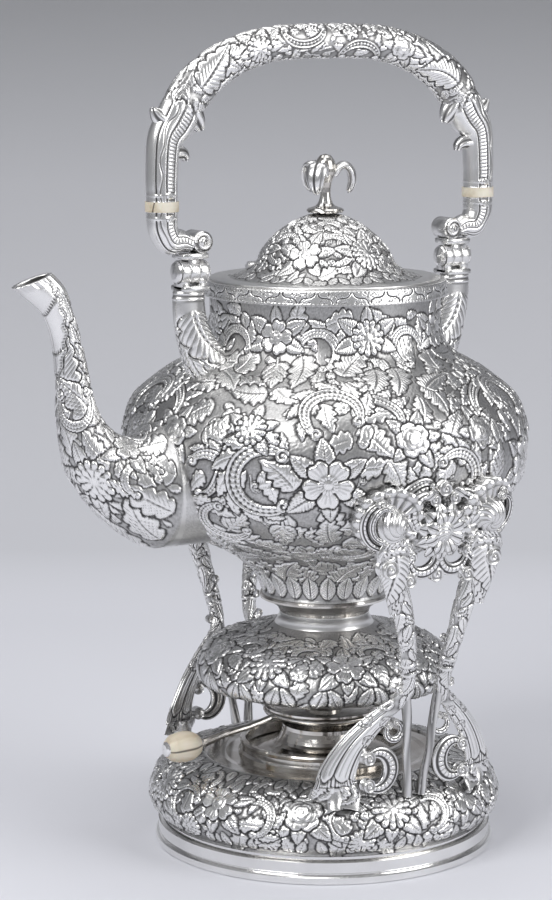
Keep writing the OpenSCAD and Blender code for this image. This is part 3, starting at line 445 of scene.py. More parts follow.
def petals(x, y, count, tip, notch, cup, vein=0.05):
    r, a = polar(x, y)
    t = np.mod(a * count / TAU, 1) - 0.5
    edge = 1 - tip * np.abs(2 * t) ** 2.6 - notch * bell(t, 0.1)
    inside = soft(edge - r, 0.07)
    gap = np.clip((0.5 - np.abs(t)) * TAU / count * np.maximum(r, 0.12) / 0.05, 0, 1)
    across = dome(1.7 * t)
    body = cup + (1 - cup) * (r / np.maximum(edge, 0.1)) * across
    lines = vein * np.cos(t * TAU * 5) * soft(r - 0.2, 0.3)
    return np.where(r < edge, inside * (0.3 + 0.7 * gap) * (body + lines), 0)


def button(x, y, size):
    r = np.hypot(x, y)
    dots = 0.12 * np.cos(x * 60) * np.cos(y * 60)
    return np.where(r < size, 0.95 * (0.55 + 0.45 * dome(r / size)) + dots, 0)


def wild_rose(x, y):
    h = petals(x, y, 5, 0.3, 0.1, 0.45)
    r, a = polar(x, y)
    stamens = np.where((r > 0.2) & (r < 0.36), 0.75 + 0.2 * np.cos(a * 16), 0)
    return np.maximum(np.maximum(h, stamens), button(x, y, 0.2))


def daisy(x, y):
    h = petals(x, y, 13, 0.22, 0.0, 0.5, 0.1)
    inner = petals(x * 1.5, y * 1.5, 9, 0.25, 0.0, 0.8)
    return np.maximum(np.maximum(h * 0.9, inner * 0.95), button(x, y, 0.27))


def full_rose(x, y):
    h = petals(x, y, 5, 0.2, 0.05, 0.35) * 0.7
    for k, (size, count, turn) in enumerate(((0.76, 5, 0.6), (0.54, 4, 0.2), (0.34, 3, 0.9))):
        layer = petals(*turned(x, y, turn, size), count, 0.16, 0.02, 0.3)
        h = np.where(layer > 0.02, np.maximum(0.35 + 0.14 * k, 0.32 + 0.17 * k + 0.3 * layer), h)
    return np.maximum(h, button(x, y, 0.12))


def leaf(x, y):
    """Root at the origin, tip at (1, 0), with a toothed edge and veins."""
    t = np.clip(x, 0, 1)
    w = 0.31 * np.sin(math.pi * t ** 0.75) ** 0.85 * (1 + 0.16 * (np.mod(t * 8, 1) - 0.5)) + 1e-4
    d = np.abs(y) / w
    h = 0.5 + 0.45 * dome(np.clip(d, 0, 1)) * (1 - 0.3 * t)
    h -= 0.5 * bell(y, 0.018)
    h -= 0.42 * np.exp(-((np.mod((x - 0.8 * np.abs(y)) * 10, 1) - 0.5) / 0.15) ** 2) * soft(np.abs(y), 0.03)
    return np.where((x > 0) & (x < 1) & (d < 1), np.clip(h, 0.05, 1) * soft(1 - d, 0.14), 0)


def acanthus(x, y):
    """A curling leaf of deep lobes."""
    v = y - 0.35 * x * x
    t = np.clip(x, 0, 1)
    lobes = 0.66 + 0.34 * np.abs(np.sin(math.pi * 4.5 * t + 0.9 * np.abs(v)))
    w = 0.37 * np.sin(math.pi * t ** 0.62) ** 0.8 * lobes + 1e-4
    d = np.abs(v) / w
    line = np.mod((x - 0.95 * np.abs(v)) * 11, 1) - 0.5
    h = 0.52 + 0.4 * dome(np.clip(d, 0, 1)) + 0.1 * np.cos(line * TAU)
    h -= 0.46 * bell(line, 0.16) * soft(d, 0.2)
    h -= 0.46 * bell(v, 0.018)
    return np.where((x > 0) & (x < 1) & (d < 1), np.clip(h, 0.05, 1) * soft(1 - d, 0.12), 0)


def crescent(x, y):
    """A broad C-scroll, open towards -x: combed flutes between a rim and beads, volutes at its ends."""
    r, a = polar(x, y)
    span = 2.25
    t = np.clip(np.abs(a) / span, 0, 1)
    inner = 1 - 0.1 - 0.3 * np.sqrt(1 - t * t)
    across = (r - inner) / np.maximum(1 - inner, 0.05)
    comb = 0.66 + 0.1 * np.cos(a * 34 + 1.5 * across) - 0.34 * bell(across - 0.72, 0.07)
    rim = bell(across - 0.9, 0.11)
    beads = bell(across - 0.13, 0.1) * (0.6 + 0.4 * np.cos(a * 32))
    comb -= 0.3 * bell(across - 0.3, 0.06)
    top = np.clip(np.maximum(np.maximum(comb, rim), beads), 0.1, 1)
    h = np.where((r < 1) & (r > inner) & (np.abs(a) < span), top, 0)
    for k in (-1, 1):
        u, v = x - 0.86 * math.cos(k * span), y - 0.86 * math.sin(k * span)
        q = np.hypot(u, v)
        spiral = 0.62 + 0.36 * np.cos(q * 46 - k * np.arctan2(v, u))
        h = np.where(q < 0.19, np.clip(spiral, 0.15, 1), h)
    return h


def sprig(x, y):
    """A stalk with three pairs of leaflets and one at its tip; root at the origin, tip at (1, 0)."""
    h = np.where((x > 0) & (x < 0.8) & (np.abs(y) < 0.028), 0.75, 0)
    for k, at_x in enumerate((0.16, 0.36, 0.56)):
        for m in (-1, 1):
            u, v = turned(x - at_x, y * m, 0.75, 0.46 - 0.07 * k)
            h = np.maximum(h, leaf(u, v * 0.8))
    return np.maximum(h, leaf((x - 0.64) / 0.38, y / 0.38 * 0.8))


def tendril(x, y):
    """A thin stalk that winds up into a curl."""
    r, a = polar(x - 0.6, y - 0.22)
    q = np.mod((r - 0.09 - 0.02 * a) / 0.125 - a / TAU, 1)
    curl_h = np.where((r < 0.3) & (np.abs(q - 0.5) < 0.27), 0.8, 0)
    stalk = np.where((x > 0) & (x < 0.62) & (np.abs(y - 0.12 * np.sin(x * 2.5) + 0.12) < 0.035), 0.75, 0)
    return np.maximum(curl_h, stalk)


def bud(x, y):
    """A closed bud on a cup, root at the origin."""
    cup = leaf(x * 1.6, y * 1.3)
    u, v = (x - 0.62) / 0.36, y / 0.25
    d = np.hypot(u, v)
    ball = np.where(d < 1, 0.5 + 0.45 * dome(d) - 0.2 * bell(v - 0.25 * np.sin(3 * u), 0.1), 0)
    return np.maximum(cup, ball)


def cut(side, u, along):
    return 0.1 + 0.5 * np.abs(side)


def rail(side, u, along):
    """Two rims with a channel of beads between them."""
    rims = 0.95 * bell(np.abs(side) - 0.72, 0.24)
    beads = bell(side, 0.36) * (0.3 + 0.5 * np.abs(np.cos(along * 1.5)))
    return np.clip(np.maximum(rims, beads), 0.14, 1)


def scroll_path(length, curl, curl_end, bow, kind):
    """A C (kind 1) or S (kind -1) scroll about the origin: curvature grows into a volute at both ends."""
    n = 46
    u = np.linspace(-1, 1, n)
    k = np.where(u < 0, curl * np.abs(u) ** 4 + bow, kind * (curl_end * np.abs(u) ** 4 + bow))
    ds = length / (n - 1)
    heading = np.cumsum(k) * ds / (length / 2)
    heading -= heading[n // 2]
    p = np.stack([np.cumsum(np.cos(heading)), np.cumsum(np.sin(heading))], 1) * ds
    return p - p[n // 2], u


def lay_scroll(relief, th, s0, length, turn, curl, curl_end, bow, kind, half, mirror, fronds, reach, side=-1):
    """A scroll with its volutes, and leaves that break from one side."""
    p, u = scroll_path(length, curl, curl_end, bow, kind)
    p = p * [mirror, 1]
    c, s = math.cos(turn), math.sin(turn)
    q = np.stack([p[:, 0] * c - p[:, 1] * s, p[:, 0] * s + p[:, 1] * c], 1)
    s_abs = s0 + q[:, 1]
    path = np.stack([th + q[:, 0] / relief.width_at(s_abs), s_abs], 1)
    for end in (0, -1):
        relief.stamp(lambda x, y: button(x, y, 1.0), path[end, 0], path[end, 1], half * 0.95)
    relief.stroke(path, half * (1.05 - 0.5 * np.abs(u) ** 2), rail)
    for k in range(fronds):
        i = int(np.interp(k, [0, max(1, fronds - 1)], [len(q) * 0.2, len(q) * 0.8]))
        d = q[min(i + 1, len(q) - 1)] - q[i - 1]
        out = math.atan2(d[1], d[0]) + side * mirror * 0.75
        size = reach * (0.85 + 0.3 * math.sin(k * 1.9 + 1))
        relief.stamp(acanthus, path[i, 0], path[i, 1], size, out, lift=0.85)


def plumed(relief, th, s0, size, turn, plumes):
    """A broad C-scroll with leaves that flare from its outer side like plumes."""
    relief.stamp(crescent, th, s0, size, turn)
    for k in range(plumes):
        way = turn + (-1.9 + 3.5 * k / max(1, plumes - 1))
        x, y = 0.9 * size * math.cos(way), 0.9 * size * math.sin(way)
        root = th + x / relief.width_at(s0 + y)
        relief.stamp(acanthus, root, s0 + y, size * (0.95 - 0.07 * k), way + 0.85, lift=0.95)


def spray(relief, flower, th, s0, size, turns, leaf_size, turn):
    """A flower with leaves that come out from under it."""
    relief.stamp(flower, th, s0, size, turn)
    for k, way in enumerate(turns):
        root = th + size * 0.55 * math.cos(way) / relief.width_at(s0)
        length = leaf_size * (0.9 + 0.2 * math.sin(3 * k))
        relief.stamp(leaf, root, s0 + size * 0.55 * math.sin(way), length, way, lift=0.86)


def leaf_ring(relief, count, s0, size, turn, sway, lift, first=0):
    """Leaves side by side all round a form, every other one swayed to the other side."""
    for k in range(count):
        relief.stamp(leaf, deg(k * 360 / count + first), s0, size, turn + sway * odd(k), lift=lift)


def turned_piece(name, node, outer, depth, rest, draw, cols, step, seed, grain=0.05):
    """A form of revolution whose outer outline carries relief; rest closes the section inside it."""
    rng = np.random.default_rng(seed)
    line = evenly(np.asarray(outer, float), step * FINE)
    s = arc(line)
    relief = Relief(s, line[:, 0].copy(), int(cols / FINE))
    draw(relief, rng)
    h, cavity = relief.finish(rng, grain)
    fade = np.clip(np.minimum(s, s[-1] - s) / EDGE_FADE, 0, 1)[:, None]
    h = h * fade + (1 - fade) * PLAIN
    d = np.gradient(line, axis=0)
    d /= np.linalg.norm(d, axis=1)[:, None]
    deep = np.interp(s, np.linspace(0, s[-1], len(depth)), depth)[:, None] * (1 - h)
    r = line[:, :1] - deep * d[:, 1:2]
    z = line[:, 1:2] + deep * d[:, :1]
    rest = np.asarray(rest, float).reshape(-1, 2)
    r = np.vstack([r, np.repeat(rest[:, :1], relief.cols, 1)])
    z = np.vstack([z, np.repeat(rest[:, 1:2], relief.cols, 1)])
    th = np.arange(relief.cols) * relief.step
    points = np.stack([r * np.cos(th), r * np.sin(th), z], 2).reshape(-1, 3)
    plain = np.ones((len(rest), relief.cols))
    faces = [grid_faces(len(r), relief.cols, wrap_rows=True)]
    mesh_piece(name, node, points, faces, np.vstack([h, PLAIN * plain]), np.vstack([cavity, LEVEL * plain]))


# Sizes, in mm, as the solids have them

PLINTH_R, PLINTH_H, DOME_H, DOME_SWELL = 87.8, 13.5, 33.0, 4.2
BORDER_IN = 61.9
DOME_TOP = PLINTH_H + DOME_H
STAGE_Z = DOME_TOP - 1.4
KETTLE_Z, FOOT_H, FOOT_R, WAIST_H, WAIST_R = 80.5, 39.5, 67.0, 9.5, 23.4
BELLY_R, NECK_R, SEAM_R, BODY_H = 104.5, 59.5, 32.6, 160.5
SEAM_Z = KETTLE_Z + FOOT_H + WAIST_H
NECK_Z = SEAM_Z + BODY_H
RIM_Z = NECK_Z + 1.5
BAND_H = 7.5
LID_R, LID_H = 58.5, 33.5


def upward(th, s0):
    """The lean of leaves that point along the form."""
    return QUARTER


def body_outline():
    b, g = BELLY_R - SEAM_R, BELLY_R - NECK_R
    return catmull([
        [SEAM_R, 0], [SEAM_R + b * 0.075, BODY_H * 0.0717], [SEAM_R + b * 0.298, BODY_H * 0.1526],
        [SEAM_R + b * 0.687, BODY_H * 0.243], [SEAM_R + b * 0.9374, BODY_H * 0.3645],
        [BELLY_R, BODY_H * 0.514], [NECK_R + g * 0.867, BODY_H * 0.6386], [NECK_R + g * 0.5, BODY_H * 0.7277],
        [NECK_R + g * 0.111, BODY_H * 0.7913], [NECK_R, BODY_H * 0.88], [NECK_R, BODY_H]], 12) + [0, SEAM_Z]


def border_outline():
    top = PLINTH_R + DOME_SWELL
    return catmull([
        [PLINTH_R - 3.6, PLINTH_H], [PLINTH_R + DOME_SWELL * 0.5, PLINTH_H + DOME_H * 0.17],
        [top, PLINTH_H + DOME_H * 0.39], [PLINTH_R + DOME_SWELL * 0.25, PLINTH_H + DOME_H * 0.66],
        [PLINTH_R - 4, PLINTH_H + DOME_H * 0.82], [(PLINTH_R + BORDER_IN) / 2 - 1, PLINTH_H + DOME_H * 0.94],
        [BORDER_IN + 3, DOME_TOP], [BORDER_IN, DOME_TOP - 0.4]], 12)


def foot_outline():
    g = FOOT_R - WAIST_R
    return catmull([
        [FOOT_R - 14.5, 0], [FOOT_R - 6, 1.2], [FOOT_R - 1.4, FOOT_H * 0.115], [FOOT_R, FOOT_H * 0.23],
        [FOOT_R - 1, FOOT_H * 0.36], [FOOT_R - 4.6, FOOT_H * 0.51], [WAIST_R + g * 0.77, FOOT_H * 0.625],
        [WAIST_R + g * 0.58, FOOT_H * 0.7], [WAIST_R + g * 0.36, FOOT_H * 0.75],
        [WAIST_R + g * 0.12, FOOT_H * 0.82], [WAIST_R + 0.6, FOOT_H * 0.9],
        [WAIST_R, FOOT_H]], 12) + [0, KETTLE_Z]


def lid_outline():
    return catmull([
        [LID_R - 9, RIM_Z + 1], [LID_R - 13, RIM_Z + 2.2], [LID_R - 18, RIM_Z + 4.6],
        [LID_R * 0.61, RIM_Z + LID_H * 0.25], [LID_R * 0.565, RIM_Z + LID_H * 0.42],
        [LID_R * 0.47, RIM_Z + LID_H * 0.62], [LID_R * 0.385, RIM_Z + LID_H * 0.76],
        [LID_R * 0.28, RIM_Z + LID_H * 0.87], [LID_R * 0.18, RIM_Z + LID_H * 0.955], [3, RIM_Z + LID_H]], 12)


def offset(path, w):
    """The path moved w to its left."""
    d = np.gradient(path, axis=0)
    d /= np.linalg.norm(d, axis=1)[:, None]
    return path + w * np.stack([-d[:, 1], d[:, 0]], 1)


def s_at(outline, z):
    """Length along an outline that rises with z."""
    return float(np.interp(z, outline[:, 1], arc(outline)))


def deg(a):
    return math.radians(a)


# Kettle body


def draw_body(relief, rng):
    out = body_outline()
    at = lambda z: s_at(out, z)
    # Five fields of flowers and scrolls, every other one mirrored
    for k in range(5):
        m = -odd(k)
        place = lambda da: deg(-122 + 72 * k) + m * deg(da)
        flip = lambda turn: turn if m > 0 else math.pi - turn
        for flower, da, z, size, leaves, leaf_size, turn in (
                (wild_rose, 0, 203, 13.5, (2.5, 1.7, 0.6, -0.5, -1.5, -2.5), 18, 0.3 + k),
                (daisy, 27, 177, 12, (2.2, 0.9, -0.2, -2.7), 14, k * 0.7),
                (full_rose, 24, 224, 9.5, (2.4, 1.2, 0.1, -1.0, -2.4), 13, k * 1.3),
                (daisy, -22, 229, 8.5, (2.6, 1.4, 0.3, -0.9), 12, k),
                (full_rose, -10, 160, 9, (2.7, 0.4, 1.6, -1.4), 13, k)):
            spray(relief, flower, place(da), at(z), size, [flip(way) for way in leaves], leaf_size, turn)
        for z, size, turn in ((184, 15, -0.9), (221, 13, 1.2)):
            relief.stamp(bud, place(9), at(z), size, flip(turn), lift=0.9)
        for da, z, size, turn, plumes in (
                (-18, 204, 19, math.pi, 7), (1, 237, 16, 1.9, 6), (38, 203, 15, 0.2, 6),
                (9, 163, 13, -1.7, 5), (-33, 179, 14, -2.6, 5)):
            plumed(relief, place(da), at(z), size, flip(turn), plumes)
        for da, z, length, turn, curl, curl_end, bow, half, fronds, reach, side in (
                (14, 243, 52, -0.4, 6, 7, 0.8, 2.6, 6, 12, 1), (-29, 214, 54, 1.3, 6, 6, 0.7, 2.6, 6, 12, -1),
                (21, 196, 40, 0.9, 7, 6, 0.9, 2.4, 5, 11, 1)):
            lay_scroll(relief, place(da), at(z), length, m * turn, curl, curl_end, bow, -1, half, m, fronds,
                       reach, side)
    # Neck: flowers and scrolls below the band
    for k in range(8):
        a = deg(45 * k - 110)
        m = odd(k)
        flower = wild_rose if k % 2 else daisy
        spray(relief, flower, a + deg(8), at(268), 9, (0.5, 2.6, -0.4, -2.8, 1.6), 14, k)
        plumed(relief, a + deg(29), at(262), 11, 0.9 if m > 0 else 2.2, 4)
        relief.stamp(acanthus, a - deg(6), at(252), 22, 1.15 if m > 0 else 2.0, m, lift=0.85)
        relief.stamp(acanthus, a + deg(19), at(266), 20, 1.3 if m > 0 else 1.85, -m, lift=0.85)
    # Leaf calyx round the seam
    leaf_ring(relief, 24, at(131), 15, QUARTER, 0, 0.8)
    for k in range(18):
        relief.stamp(acanthus, deg(k * 20 + 6), at(141), 24, QUARTER + 0.3, odd(k), lift=0.85)
    relief.fill(rng, (22, 17, 13), (sprig, acanthus, acanthus), 1500, (3, at(280)))
    relief.fill(rng, (10, 7.5), (acanthus, tendril, leaf, bud), 900, (3, at(281)))


outer = body_outline()
inner = offset(evenly(outer, 8), 3.0)[::-1]
inner = inner[(inner[:, 1] > SEAM_Z + 3.4) & (inner[:, 1] < NECK_Z - 0.5)]
rest = [[NECK_R - 1.2, NECK_Z], [NECK_R - 2.2, NECK_Z - 1], *inner, [SEAM_R - 2, SEAM_Z + 2.4],
        [0.05, SEAM_Z + 2.4], [0.05, SEAM_Z]]
depth = [2.2, 2.2, 2.2, 2.2, 1.6, 1.2]
turned_piece("kettle_body_chased", "kettle_body", outer, depth, rest, draw_body, cols=1240, step=0.52,
             seed=11)

# Kettle foot


def draw_foot(relief, rng):
    total = relief.s[-1]
    for k in range(9):
        a = deg(k * 40 - 112)
        flower = (wild_rose, full_rose, daisy)[k % 3]
        spray(relief, flower, a, total * 0.47, 10.5, (0.4, 1.5, 2.6, -0.7, -1.6, -2.4), 14, k)
        plumed(relief, a + deg(20), total * 0.6, 9, 1.1 if k % 2 else 2.0, 4)
    leaf_ring(relief, 34, total * 0.13, 15, QUARTER, 0.35, 0.8)
    relief.fill(rng, (15, 11), (sprig, acanthus), 700, (total * 0.14, total * 0.8))
    relief.fill(rng, (8, 6), (leaf, acanthus, tendril), 260, (total * 0.14, total * 0.84))


outer = foot_outline()
inner = offset(evenly(outer, 5), 2.9)[::-1][2:-3]
rest = [[WAIST_R - 1.2, KETTLE_Z + FOOT_H], *inner, [FOOT_R - 15, KETTLE_Z + 1.4],
        [FOOT_R - 16.5, KETTLE_Z + 1.4], [FOOT_R - 16.5, KETTLE_Z]]
depth = [1.0, 2.0, 2.0, 1.6, 0.4]
turned_piece("kettle_foot_chased", "kettle_foot", outer, depth, rest, draw_foot, cols=860, step=0.5, seed=12)

# Border of the base


def draw_border(relief, rng):
    total = relief.s[-1]
    for k in range(12):
        a = deg(k * 30 - 100)
        m = odd(k)
        flower = (daisy, wild_rose, full_rose)[k % 3]
        spray(relief, flower, a, total * 0.5, 11, (0.3, 1.4, 2.6, -0.8, -1.7, -2.4), 16, k)
        plumed(relief, a + deg(14), total * 0.42, 11.5, math.pi * 0.5 + m * 0.9, 5)
        relief.stamp(crescent, a + deg(16), total * 0.72, 10, -math.pi * 0.5 + m * 0.7)
        relief.stamp(daisy, a + deg(19), total * 0.2, 7.5, k)
    leaf_ring(relief, 44, total * 0.045, 10, QUARTER, 0.3, 0.8)
    leaf_ring(relief, 40, total * 0.95, 10, -QUARTER, 0.35, 0.75, 4)
    relief.fill(rng, (17, 13), (sprig, acanthus), 1000, (total * 0.08, total * 0.92))
    relief.fill(rng, (9, 6.5, 5), (leaf, acanthus, tendril, bud), 1600, (total * 0.06, total * 0.93))


outer = border_outline()
inner = offset(evenly(outer, 6), 3.2)[::-1][1:-2]
rest = [[BORDER_IN, STAGE_Z - 1.2], [BORDER_IN + 1.2, STAGE_Z - 1.2], *inner, [PLINTH_R - 4.8, PLINTH_H]]
depth = [0.8, 2.3, 2.3, 2.2, 1.4, 0.4]
turned_piece("base_border_chased", "base_border", outer, depth, rest, draw_border, cols=1100, step=0.52,
             seed=13)

# Lid


def draw_lid(relief, rng):
    total = relief.s[-1]
    for k in range(6):
        a = deg(60 * k - 82)
        m = odd(k)
        spray(relief, (daisy, wild_rose)[k % 2], a, total * 0.4, 9, (0.2, 1.2, 2.1, 2.9, -0.9, -2.3), 13, k)
        plumed(relief, a + deg(30), total * 0.46, 10, 0.3 if m > 0 else 2.8, 5)
        relief.stamp(crescent, a + deg(26), total * 0.7, 7, 1.6)
    leaf_ring(relief, 30, total * 0.06, 8, QUARTER, 0.5, 0.75)
    relief.fill(rng, (14, 11, 8), (sprig, acanthus, acanthus), 700, (total * 0.08, total * 0.95))
    relief.fill(rng, (6.5, 5), (leaf, acanthus, tendril), 420, (total * 0.08, total * 0.95))


outer = lid_outline()
inner = offset(evenly(outer, 4), 2.5)[::-1][1:-2]
rest = [[3.4, RIM_Z + LID_H - 1.2], *inner, [LID_R - 12, RIM_Z], [LID_R, RIM_Z], [LID_R, RIM_Z + 0.7],
        [LID_R - 0.3, RIM_Z + 1], [LID_R - 8.5, RIM_Z + 1]]
depth = [0.3, 1.2, 1.7, 1.7, 1.5, 0.5]
turned_piece("lid_dome_chased", "lid_dome", outer, depth, rest, draw_lid, cols=760, step=0.48, seed=14)

# Rim band, engraved with a running scroll


def draw_band(relief, rng):
    total = relief.s[-1]
    mid = total * 0.5
    relief.h[:] = 0.8
    n = 44
    for k in range(n):
        a = TAU * k / n
        m = odd(k)
        p, u = scroll_path(10.5, 7.5, 4.5, 1.1, -1)
        q = p * [1, m]
        path = np.stack([a + q[:, 0] / relief.width[0], mid + q[:, 1]], 1)
        relief.stroke(path, 0.34 + 0 * u, cut, 0.1)
        for side, lean, size in ((1, 0.7, 4.2), (-1, 2.5, 3.6), (-1, 1.3, 3.2)):
            s0 = mid + 0.5 * side * m
            relief.stamp(acanthus, a + 0.02 * side, s0, size, lean * m * side, side * m)
    for s0 in (total * 0.07, total * 0.93):
        rows = np.abs(relief.s - s0) < total * 0.06
        beads = 0.7 + 0.3 * np.abs(np.cos(np.arange(relief.cols) * relief.step * 90))
        relief.h[rows] = beads


r = NECK_R
low = RIM_Z - BAND_H
band = [[r + 2.9, low + 0.2], [r + 2.75, low + 2], [r + 2.3, RIM_Z - 1.4], [r + 1.7, RIM_Z - 0.1]]
rest = [[r + 1.4, RIM_Z], [r - 3.1, RIM_Z], [r - 3.1, NECK_Z], [r, NECK_Z], [r, low], [r + 2.8, low]]
depth = [0.7, 0.7, 0.7]
turned_piece("rim_band_engraved", "rim_band", catmull(band, 8), depth, rest, draw_band, cols=1500, step=0.2,
             seed=15, grain=0.1)

# Forms swept along a path: each part is (points, faces, relief, cavity)

Y_OUT = (0, 1, 0)


def unit(v):
    return v / np.maximum(np.linalg.norm(v, axis=-1, keepdims=True), 1e-9)


def closed_part(points, ends, rel, cavity=LEVEL, end_rel=(PLAIN, PLAIN)):
    """A part from rings of points (rows, cols, 3); each end is closed by triangles round one more point."""
    rows, cols = points.shape[:2]
    count = rows * cols
    ring = np.arange(cols)
    first, last = (np.stack([at + ring, np.full(cols, hub), at + (ring + 1) % cols], 1)
                   for at, hub in ((0, count), (count - cols, count + 1)))
    faces = [grid_faces(rows, cols), first[:, ::-1], last]
    cavity = np.r_[np.broadcast_to(cavity, (rows, cols)).ravel(), LEVEL, LEVEL]
    return np.vstack([points.reshape(-1, 3), ends]), faces, np.r_[rel.ravel(), end_rel], cavity


def swept_part(rows, out, depth, draw, cols, step, seed=1, steps=12):
    """rows of [x, y, z, half width, half depth]; out is where the depth faces, for all rows or row by row."""
    rng = np.random.default_rng(seed)
    rows = np.asarray(rows, float)
    out = np.asarray(out, float).reshape(-1, 3)
    out = np.repeat(out, len(rows), 0) if len(out) == 1 else out
    line = evenly(catmull(np.hstack([rows, out]), steps), step * FINE)
    t = unit(np.gradient(line[:, :3], axis=0))
    side = unit(np.cross(t, line[:, 5:8]))
    deep = np.cross(side, t)
    cols = int(cols / FINE)
    relief = Relief(arc(line[:, :3]), np.maximum((line[:, 3] + line[:, 4]) / 2, 1), cols)
    draw(relief, rng)
    h, cavity = relief.finish(rng)
    phi = np.arange(cols) * TAU / cols
    c, sn = np.cos(phi)[None, :, None], np.sin(phi)[None, :, None]
    w, d = line[:, 3][:, None, None], line[:, 4][:, None, None]
    normal = unit(c / w * side[:, None] + sn / d * deep[:, None])
    sunk = np.minimum(depth, 0.45 * np.minimum(w, d)) * (1 - h)[..., None]
    points = line[:, None, :3] + w * c * side[:, None] + d * sn * deep[:, None] - sunk * normal
    return closed_part(points, line[[0, -1], :3], h, cavity)


def turned_part(outline, at, axis, cols, rel=PLAIN):
    """A plain round form about an axis, from (radius, height) points; its ends are closed at radius 0."""
    line = np.asarray(outline, float)
    a = unit(np.asarray(axis, float))
    u = unit(np.cross(a, [0.0, 1, 0] if abs(a[1]) < 0.9 else [1.0, 0, 0]))
    v = np.cross(a, u)
    th = np.arange(cols) * TAU / cols
    spoke = np.cos(th)[:, None] * u + np.sin(th)[:, None] * v
    points = line[:, None, :1] * spoke[None] + line[:, None, 1:2] * a + np.asarray(at, float)
    ends = np.asarray(at, float) + a * line[[0, -1], 1:2]
    return closed_part(points, ends, np.full(points.shape[:2], rel), end_rel=(rel, rel))


def drum(radius, length, at, axis, edge):
    """A short cylinder with softened edges, centred on a point."""
    half = length / 2
    k = [(radius - edge, -half), (radius - edge * 0.3, -half + edge * 0.3), (radius, -half + edge)]
    return turned_part(k + [(r, -z) for r, z in k[::-1]], at, axis, 64)


def block(low, high, edge):
    """A plate or lug with softened edges."""
    low, high = np.asarray(low, float), np.asarray(high, float)
    rings = []
    for z, inward in ((low[2], edge), (low[2] + edge, 0), (high[2] - edge, 0), (high[2], edge)):
        x0, y0, x1, y1 = low[0] + inward, low[1] + inward, high[0] - inward, high[1] - inward
        e = edge
        rings.append([(x0 + e, y0, z), (x1 - e, y0, z), (x1, y0 + e, z), (x1, y1 - e, z), (x1 - e, y1, z),
                      (x0 + e, y1, z), (x0, y1 - e, z), (x0, y0 + e, z)])
    points = np.array(rings).reshape(-1, 3)
    faces = [grid_faces(4, 8), np.arange(8)[None, ::-1].copy(), 24 + np.arange(8)[None]]
    return points, faces, np.full(32, PLAIN), np.full(32, LEVEL)


def moved(part, mirror):
    """The part mirrored across the axes that are -1, its faces turned back outward."""
    points, faces, rel, cav = part
    m = np.asarray(mirror, float)
    if m.prod() < 0:
        faces = [f[:, ::-1] for f in faces]
    return points * m, faces, rel, cav


def joined_piece(name, node, parts, mirror=(1, 1, 1)):
    points, faces, rel, cav, start = [], [], [], [], 0
    for part in parts:
        p, f, r, c = moved(part, mirror)
        points.append(p)
        faces += [g + start for g in f]
        rel.append(r)
        cav.append(c)
        start += len(p)
    mesh_piece(name, node, np.vstack(points), faces, np.concatenate(rel), np.concatenate(cav))


def plain_draw(relief, rng):
    relief.h[:] = PLAIN


# Spout

SPOUT_Z = SEAM_Z + BODY_H * 0.405
SPOUT_STEP, SPOUT_COLS, SPOUT_DEPTH, SPOUT_WALL = 0.6, 260, 1.5, 2.7
ROOT_ROWS = 24
body_fine = body_outline()


def body_r_at(z):
    return np.interp(z, body_fine[:, 1], body_fine[:, 0])


def spout_line():
    """Lengths along the spout, and at each x, z, turn in degrees, half width and half depth."""
    x, z = BELLY_R, SPOUT_Z
    line = catmull([
        [-x + 3, z, 2, 32.5, 31.5], [-x - 4.5, z + 1, 9, 28.5, 28], [-x - 13, z + 4.5, 23, 24, 24],
        [-x - 21.5, z + 10.5, 40, 20, 20], [-x - 30, z + 19, 57, 16.6, 16.6],
        [-x - 35.3, z + 29, 68, 13.4, 13.4], [-x - 38.8, z + 40.2, 76, 10.9, 10.9],
        [-x - 40.7, z + 56.2, 83, 8.8, 8.8], [-x - 43.9, z + 76.1, 78, 7.5, 7.5],
        [-x - 48.3, z + 89.5, 68, 7.6, 7.1], [-x - 53.5, z + 97.5, 66, 9.4, 7],
        [-x - 61.6, z + 104.9, 72.8, 11, 6.4]], 14)
    s = arc(line[:, :2])
    t = np.linspace(0, s[-1], len(evenly(line[:, :2], SPOUT_STEP * FINE)))
    return t, np.stack([np.interp(t, s, line[:, k]) for k in range(5)], 1)


def draw_spout(relief, rng):
    """Flowers round the root and leaves up both sides; angle 0 is the underside, half a turn the top."""
    total = relief.s[-1]
    for m in (1, -1):
        face = QUARTER * m
        relief.stamp(crescent, face + 0.5, total * 0.5, 11, face)
        relief.stamp(acanthus, face - 0.6, total * 0.42, 30, QUARTER - 0.3 * m, m)
        relief.stamp(acanthus, face + 0.9, total * 0.52, 30, QUARTER + 0.2 * m, -m)
    for k in range(4):
        a = TAU * (k + 0.5) / 4
        spray(relief, (wild_rose, daisy)[k % 2], a, 34, 9.5, (0.4, 1.5, 2.7, -0.9, -2.2), 14, k)
        plumed(relief, a + 0.7, 20, 10, 1.6 - 0.5 * odd(k), 5)
    for m in (1, -1):
        for k, s0 in enumerate(np.linspace(58, total * 0.78, 6)):
            a = QUARTER * m + 0.25 * math.sin(k)
            relief.stamp(acanthus, a, s0, 20, QUARTER - 0.4 * odd(k), -odd(k), lift=0.95)
            relief.stamp(leaf, a + 0.9, s0 + 4, 13, QUARTER + 0.5 * odd(k), lift=0.85)
    for k in range(10):
        relief.stamp(acanthus, TAU * k / 10, 3, 24, QUARTER + 0.3 * odd(k), odd(k), lift=0.9)
    relief.fill(rng, (18, 14, 10), (acanthus, sprig, acanthus), 600, (4, total * 0.84), upward)
    relief.fill(rng, (7, 5.5, 4.2), (leaf, acanthus, tendril), 900, (4, total * 0.85), upward)


